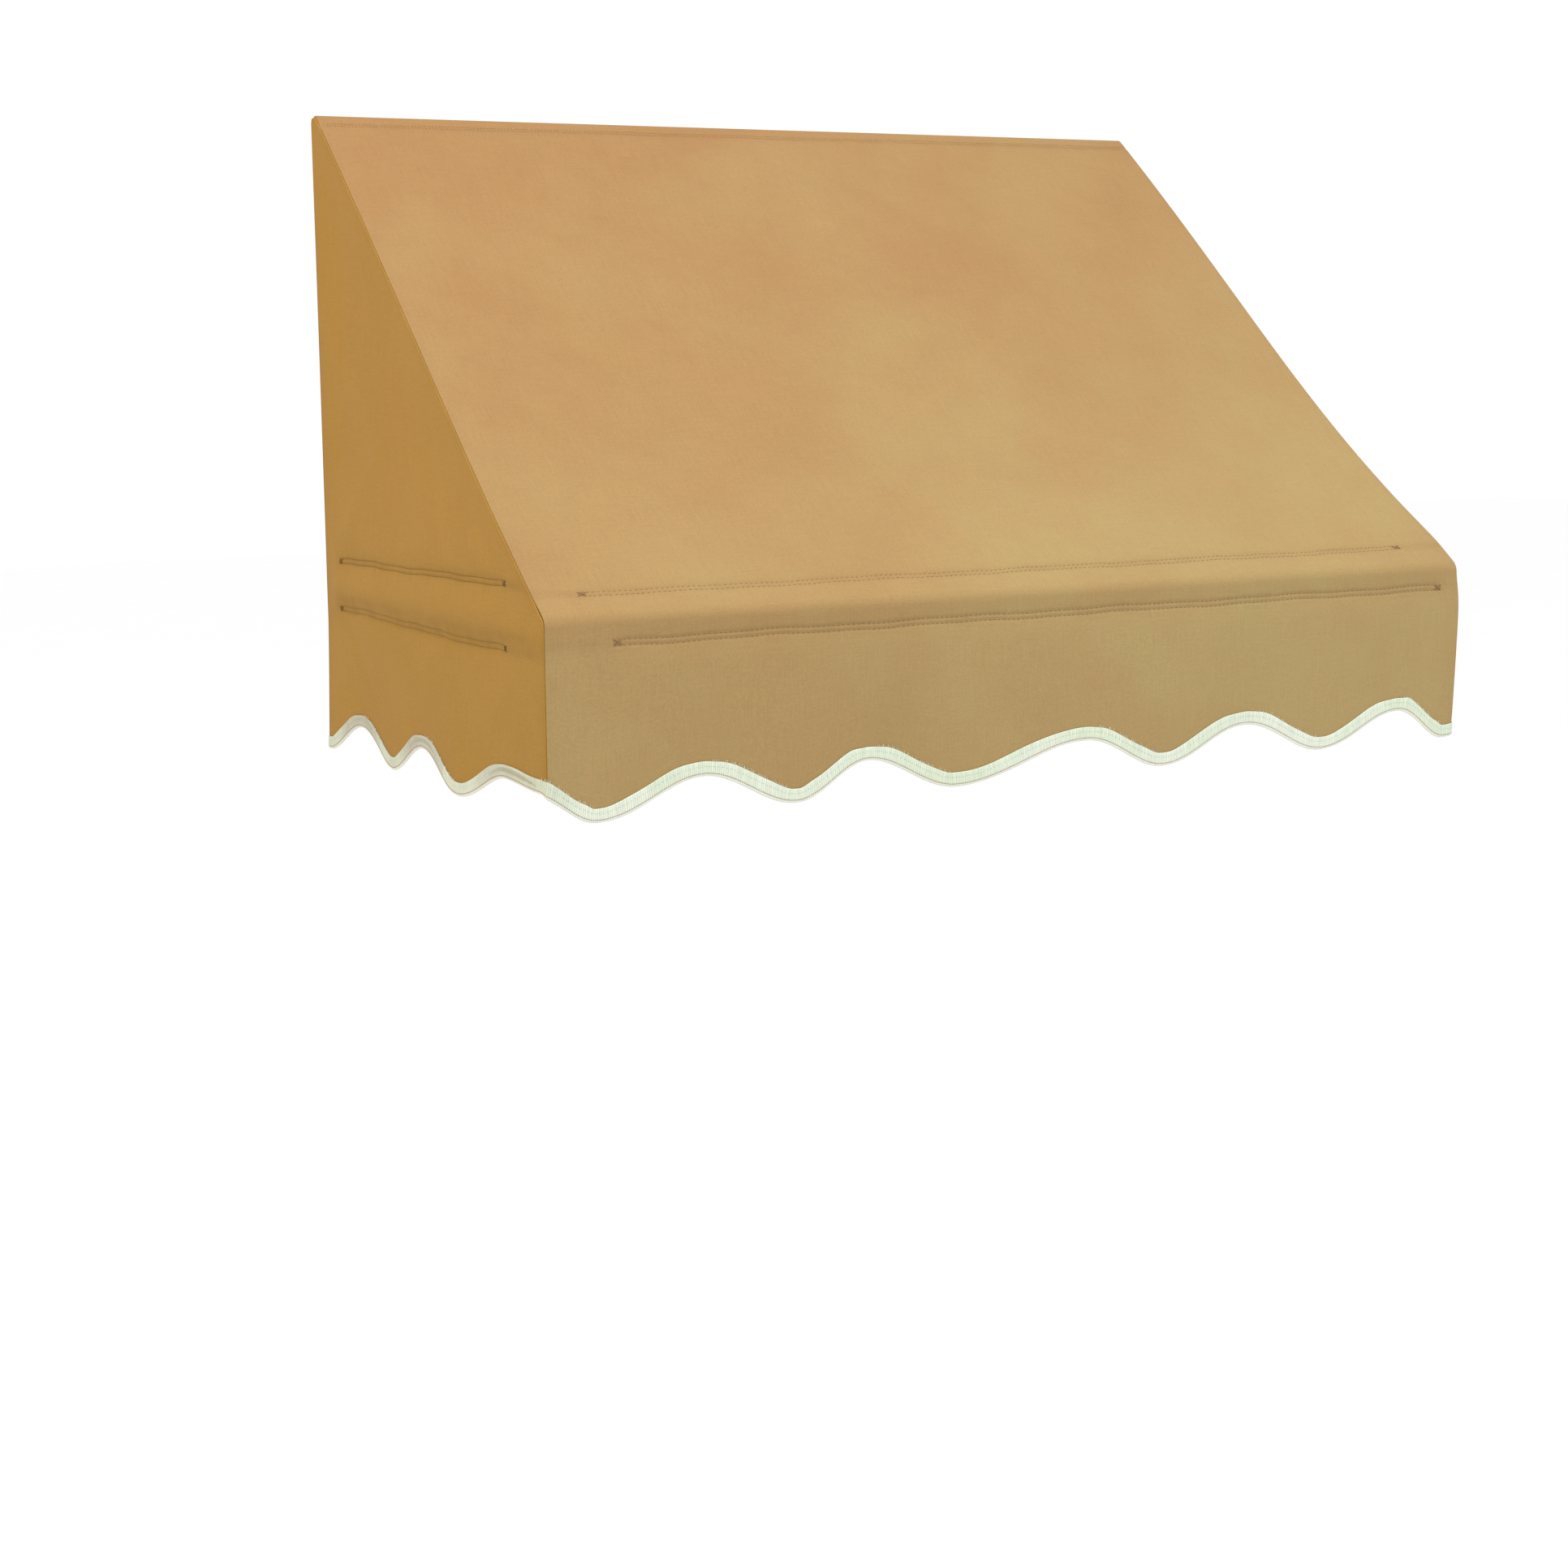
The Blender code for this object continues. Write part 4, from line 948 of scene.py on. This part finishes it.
def tape_place(d, rise, offset):
    """Hung places on the tape, with their outward directions.

    rise is measured square to the scalloped edge and offset outward from the cloth's middle, so on
    a flank the tape's lines tip along the edge, and a tight turn draws its upper edge higher.
    """
    d, rise, offset = np.broadcast_arrays(d, rise, offset)
    base = edge_height(d)
    lean = (edge_height(d + 0.0005) - edge_height(d - 0.0005)) / 0.001
    square = 1 / (1 + lean**2)
    slack = 1 + 0.03 * wave(d, 0.31, 0.2) + 0.02 * wave(d, 0.083, 0.6)
    height = slack * (0.45 + 0.55 * square + 0.25 * smooth(np.abs(lean), 0.1, 0.5))
    along = np.clip(d - 0.42 * rise * lean * square, TAPE_ENDS[0], TAPE_ENDS[1])
    plan, outward = skirt_path(along)
    flat = plan + offset[..., None] * outward
    place = points(flat[..., 0], np.minimum(flat[..., 1], WALL_EDGE_Y), base + rise * height)
    return drape_skirt(place, along), points(outward[..., 0], outward[..., 1], 0)


def tape_age(d):
    """Where the tape has gone from mint to cream: on the crests of the sides."""
    on_left = 0.35 + 0.65 * smooth(PROJECTION - d, 0.0, 0.25)
    past_corner = 0.30 * np.exp(-np.maximum(d - PROJECTION, 0) / 0.06)
    aged = np.where(d < PROJECTION, on_left, np.where(d > PROJECTION + WIDTH, 0.9, past_corner))
    crest = (edge_height(d) - LOW_EDGE_Z) / SCALLOP
    return aged * (0.35 + 0.65 * smooth(crest, 0.1, 0.7))


def make_tape():
    across, rise, fold = tape_section().T
    count = 2 * int((TAPE_ENDS[1] - TAPE_ENDS[0]) / TAPE_RIB)
    d = np.linspace(*TAPE_ENDS, count + 1)
    # 1 on a rib and 0 in a groove: it raises the ribs and gives the grooves painted shade.
    rib = 1.0 - np.arange(len(d)) % 2
    face = np.sign(across) * smooth(rise, 0.0, 0.002) * (rise < 0.97 * TAPE_UP)
    offset = across[:, None] + TAPE_RIB_HEIGHT * rib * face[:, None]
    hung, _ = tape_place(d, rise[:, None], offset)
    values = {"rib": rib, "aged": tape_age(d), "fold": fold[:, None]}
    uv = weave_uv(d, rise[:, None])
    return make_sheet("edge_tape", hung, TAPE_MATERIAL, uv, values, True, thickness=TAPE)


# ---------------- sewing


def arched(starts, ends, normals, lift, sink, steps=5):
    """Centre lines of stitches that dive into the cloth at both ends."""
    t = np.linspace(0, 1, steps)
    rise = lift - (lift + sink) * (2 * t - 1) ** 4
    lines = starts[:, None] + (ends - starts)[:, None] * t[:, None]
    return lines + rise[:, None] * normals[:, None], np.repeat(normals[:, None], steps, 1)


def front_place(x, s):
    yz, normal = profile(s)
    return points(x, yz[..., 0], yz[..., 1]), points(0 * np.asarray(x), normal[..., 0], normal[..., 1])


def sew(name, path, t, lift, side, shown=STITCH_SHOWN, radius=0.00035, inside=0.0):
    """A row of stitches along path(t) -> (place, normal), or on the inner face at a depth inside."""
    jitter = rng.uniform(-0.0004, 0.0004, len(t))
    starts, normal = path(t - shown / 2 + jitter)
    ends, _ = path(t + shown / 2 + jitter)
    deep = inside * normal
    facing = -normal if inside else normal
    lines, outward = arched(starts - deep, ends - deep, facing, lift, 0.0005)
    return thread_object(name, drape(lines, side), outward, radius, SIDE_THREAD if side else THREAD)


def front_upper_path(row):
    return lambda x: front_place(x, SLOPE + FOLD_CORNER - FRONT_UP - row * ROW_GAP - row_wander(x, 1))


def front_lower_path(row):
    def path(x):
        down = FRONT_DOWN + row * ROW_GAP + row_wander(x, 2)
        return front_place(x, SLOPE + FOLD_ARC - FOLD_CORNER + down)
    return path


def hem_path(row):
    return lambda x: front_place(x, HEM_TUNNEL - 0.0045 + 0.0042 * row + 0.6 * row_wander(x, 6 + row))


def side_path(side, above, row):
    def path(t):
        if above:
            z = BAR[1] + SIDE_SEAM + row * ROW_GAP + row_wander(t, 4)
        else:
            z = BAR[1] - SIDE_SEAM - row * ROW_GAP + row_wander(t, 5)
        z = z + side_wander(-t, side, above)
        place = points(side * HALF + 0 * t, -t, z)
        return place, points(side + 0 * t, 0 * t, 0 * t)
    return path


def bar_tack(name, paths, t, direction, side):
    """Back-and-forth stitches that lock the end of a double row: a cross and a few overshoots."""
    reach = 0.011
    spans = ((0.0, 0, reach, 1), (0.0, 1, 0.9 * reach, 0), (0.0, 0, 0.0015, 1), (0.003, 1, 0.005, 0))
    places, normals = [], []
    for start, row, end, end_row in spans:
        for on_row, off in ((row, start), (end_row, end)):
            place, normal = paths[on_row](np.array([t + direction * off]))
            places.append(place[0])
        normals.append(normal[0])
    places = np.array(places)
    lines, outward = arched(places[::2], places[1::2], np.array(normals), 0.0006, 0.0002, 7)
    material = SIDE_THREAD if side else THREAD
    return thread_object(name, drape(lines, side), outward, 0.00032, material)


def make_sewing():
    rows = []
    lift = 0.00018
    ends_up = np.arange(FRONT_UPPER_X[0], FRONT_UPPER_X[1], STITCH)
    ends_low = np.arange(FRONT_LOWER_X[0], FRONT_LOWER_X[1], STITCH)
    for level, path, t in (("upper", front_upper_path, ends_up), ("lower", front_lower_path, ends_low)):
        for row in (0, 1):
            name = f"front_{level}_{row + 1}"
            rows.append(sew(f"stitches_{name}", path(row), t, lift, 0))
            rows.append(sew(f"bobbin_{name}", path(row), t + STITCH / 2, lift, 0, inside=UNDER))
        pair = path(0), path(1)
        rows.append(bar_tack(f"tack_front_{level}_left", pair, t[0], 1, 0))
        rows.append(bar_tack(f"tack_front_{level}_right", pair, t[-1], -1, 0))
    x = np.arange(-HALF + 0.012, HALF - 0.010, STITCH * 0.75)
    for row in (0, 1):
        name = f"stitches_hem_{row + 1}"
        rows.append(sew(name, hem_path(row), x, 0.0001, 0, shown=0.0034, radius=0.0003))
    for side, word in ((-1, "left"), (1, "right")):
        t = np.arange(*SIDE_ROWS, STITCH * 0.9)
        for above, level in ((True, "upper"), (False, "lower")):
            for row in (0, 1):
                name = f"{word}_{level}_{row + 1}"
                path = side_path(side, above, row)
                rows.append(sew(f"stitches_{name}", path, t, lift, side, shown=0.0047))
                rows.append(sew(f"bobbin_{name}", path, t + STITCH / 2, lift, side, inside=UNDER))
            pair = side_path(side, above, 0), side_path(side, above, 1)
            rows.append(bar_tack(f"tack_{word}_{level}_rear", pair, t[0], 1, side))
            rows.append(bar_tack(f"tack_{word}_{level}_front", pair, t[-1], -1, side))
    return rows


def tape_stitches(name, d, length, rise, offset, radius, material, lift=0.0001):
    """A row of stitches along the tape at a height on it, on the face that offset is on."""
    start, outward = tape_place(d - length / 2, rise, offset)
    end, _ = tape_place(d + length / 2, rise, offset)
    lines, normals = arched(start, end, math.copysign(1, offset) * outward, lift, 0.0003)
    return thread_object(name, lines, normals, radius, material, 5)


def make_tape_sewing():
    """Rows of small stitches on the tape, ticks on the crests of the sides, and frayed ends."""
    face = CLOTH / 2 + TAPE_OFF + TAPE + TAPE_RIB_HEIGHT
    run = TAPE_ENDS[0] + 0.006, TAPE_ENDS[1] - 0.006
    middle, edge = np.arange(*run, 0.0046), np.arange(*run, 0.0027)
    pieces = [
        tape_stitches("tape_stitches_outer", middle, 0.0028, 0.0085, face, 0.00024, TAPE_THREAD),
        tape_stitches("tape_stitches_inner", middle, 0.0028, 0.0085, -face, 0.00024, TAPE_THREAD),
        tape_stitches("tape_edge_outer", edge, 0.0025, 0.0011, face, 0.00038, LINE_THREAD, 0.0),
        tape_stitches("tape_edge_inner", edge, 0.0025, 0.0011, -face, 0.00038, LINE_THREAD, 0.0),
    ]
    d = np.arange(*run, 0.0024)
    size = smooth(edge_height(d) - LOW_EDGE_Z, 0.6 * SCALLOP, 0.95 * SCALLOP)
    size = size * smooth(np.abs(d - EDGE_LENGTH / 2) - HALF, 0.015, 0.055)
    kept = size > 0.15
    d, size = d[kept], size[kept]
    low, outward = tape_place(d + 0.0006, 0.0046 + 0.001 * (1 - size), face - 0.0001)
    high, _ = tape_place(d - 0.0006, 0.0046 + 0.0074 * size, face - 0.0001)
    lines, normals = arched(low, high, outward, 0.0001, 0.0003)
    pieces.append(thread_object("tape_ticks", lines, normals, 0.00036, TICK_THREAD))

    # Frayed ends stand up from the tape's edge where it was stretched round a falling flank.
    d = np.sort(rng.uniform(*run, 1900))
    falling = edge_height(d + 0.001) < edge_height(d - 0.001) - 0.0002
    d = d[falling & (rng.uniform(0, 1, len(d)) < 0.75)]
    length = rng.uniform(0.0010, 0.0032, len(d))
    tip = rng.uniform(-0.0010, 0.0010, len(d))
    low, outward = tape_place(d, 0.94 * TAPE_UP, face - 0.0004)
    high, _ = tape_place(d + tip, TAPE_UP + length, face - 0.0003)
    lines, normals = arched(low, high, outward, 0.0003, 0.0, 4)
    pieces.append(thread_object("tape_frayed_ends", lines, normals, 0.00017, TAPE_THREAD, 4))
    return pieces


# ---------------- put it together

canopy = make_canopy()
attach(canopy, "root")
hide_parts("top_panel")

for side, word in ((-1, "left"), (1, "right")):
    panel = make_side(side)
    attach(panel, "root")
    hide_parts(f"side_panel_{word}")
    sleeve = make_arm_sleeve(side)
    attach(sleeve, "root")
    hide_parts(f"arm_sleeve_{word}")

front_sleeve = make_front_sleeve()
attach(front_sleeve, "root")
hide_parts("front_bar_sleeve")

tape = make_tape()
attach(tape, "root")
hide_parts("edge_binding")

for piece in make_sewing():
    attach(piece, "root")
    "canopy_cloth" if "front" in piece.name or "hem" in piece.name else "side_cloth"
for piece in make_tape_sewing():
    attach(piece, "root")

FINISHES = {"powder_coat": POWDER, "white_plastic": PLASTIC, "zinc_steel": ZINC}
for entry in frame["record"]["subparts"]:
    finish = FINISHES.get(entry["material_slot"])
    if finish:
        node = frame["nodes"][entry["node"]]
        for slot in node.material_slots:
            slot.material = finish

# ---------------- stage, light and camera


def make_floor():
    bpy.ops.mesh.primitive_plane_add(size=60, location=(0, 0, -2.3))
    floor = bpy.context.active_object
    floor.name = "studio_floor"
    nodes = Nodes("pale_floor", Roughness=0.9)
    shade = nodes.mix(nodes.noise(nodes.place, 2.0), (0.95, 0.95, 0.95), (0.97, 0.97, 0.97))
    nodes.link("Base Color", shade)
    floor.data.materials.append(nodes.material)


def area_light(name, direction, distance, size, power, colour):
    target = Vector((0, -0.35, -0.3))
    data = bpy.data.lights.new(name, "AREA")
    data.size = size
    data.energy = power
    data.color = colour
    light = bpy.data.objects.new(name, data)
    way = Vector(direction).normalized()
    light.location = target + way * distance
    light.rotation_mode = "QUATERNION"
    light.rotation_quaternion = way.to_track_quat("Z", "Y")
    bpy.context.scene.collection.objects.link(light)


def make_world():
    world = bpy.data.worlds.new("studio_white")
    world.use_nodes = True
    background = world.node_tree.nodes["Background"]
    background.inputs["Color"].default_value = (1.0, 1.0, 1.0, 1.0)
    background.inputs["Strength"].default_value = 1.03
    bpy.context.scene.world = world
    bpy.context.scene.view_settings.view_transform = "Standard"


def make_camera():
    data = bpy.data.cameras.new("camera")
    data.sensor_width = 36.0
    data.lens = 57.3
    data.shift_x, data.shift_y = 0.06, -0.10
    camera = bpy.data.objects.new("camera", data)
    yaw, pitch, roll = (math.radians(a) for a in (25.79, -5.19, -1.23))
    ahead = Vector((math.sin(yaw) * math.cos(pitch), math.cos(yaw) * math.cos(pitch), math.sin(pitch)))
    level = Vector((math.cos(yaw), -math.sin(yaw), 0))
    above = level.cross(ahead)
    right = level * math.cos(roll) + above * math.sin(roll)
    up = above * math.cos(roll) - level * math.sin(roll)
    turn = Matrix((right, up, -ahead)).transposed()
    camera.matrix_world = Matrix.Translation((-1.575, -3.060, -0.326)) @ turn.to_4x4()
    bpy.context.scene.collection.objects.link(camera)
    bpy.context.scene.camera = camera


make_floor()
make_world()
area_light("key", (-0.08, -0.56, 0.80), 3.8, 2.6, 177, (1.0, 0.985, 0.96))
area_light("fill", (0.75, -0.60, 0.25), 4.0, 2.5, 22, (0.97, 0.985, 1.0))
area_light("warm_side", (-1.0, -0.12, 0.42), 3.2, 1.4, 46, (1.0, 0.83, 0.50))
make_camera()
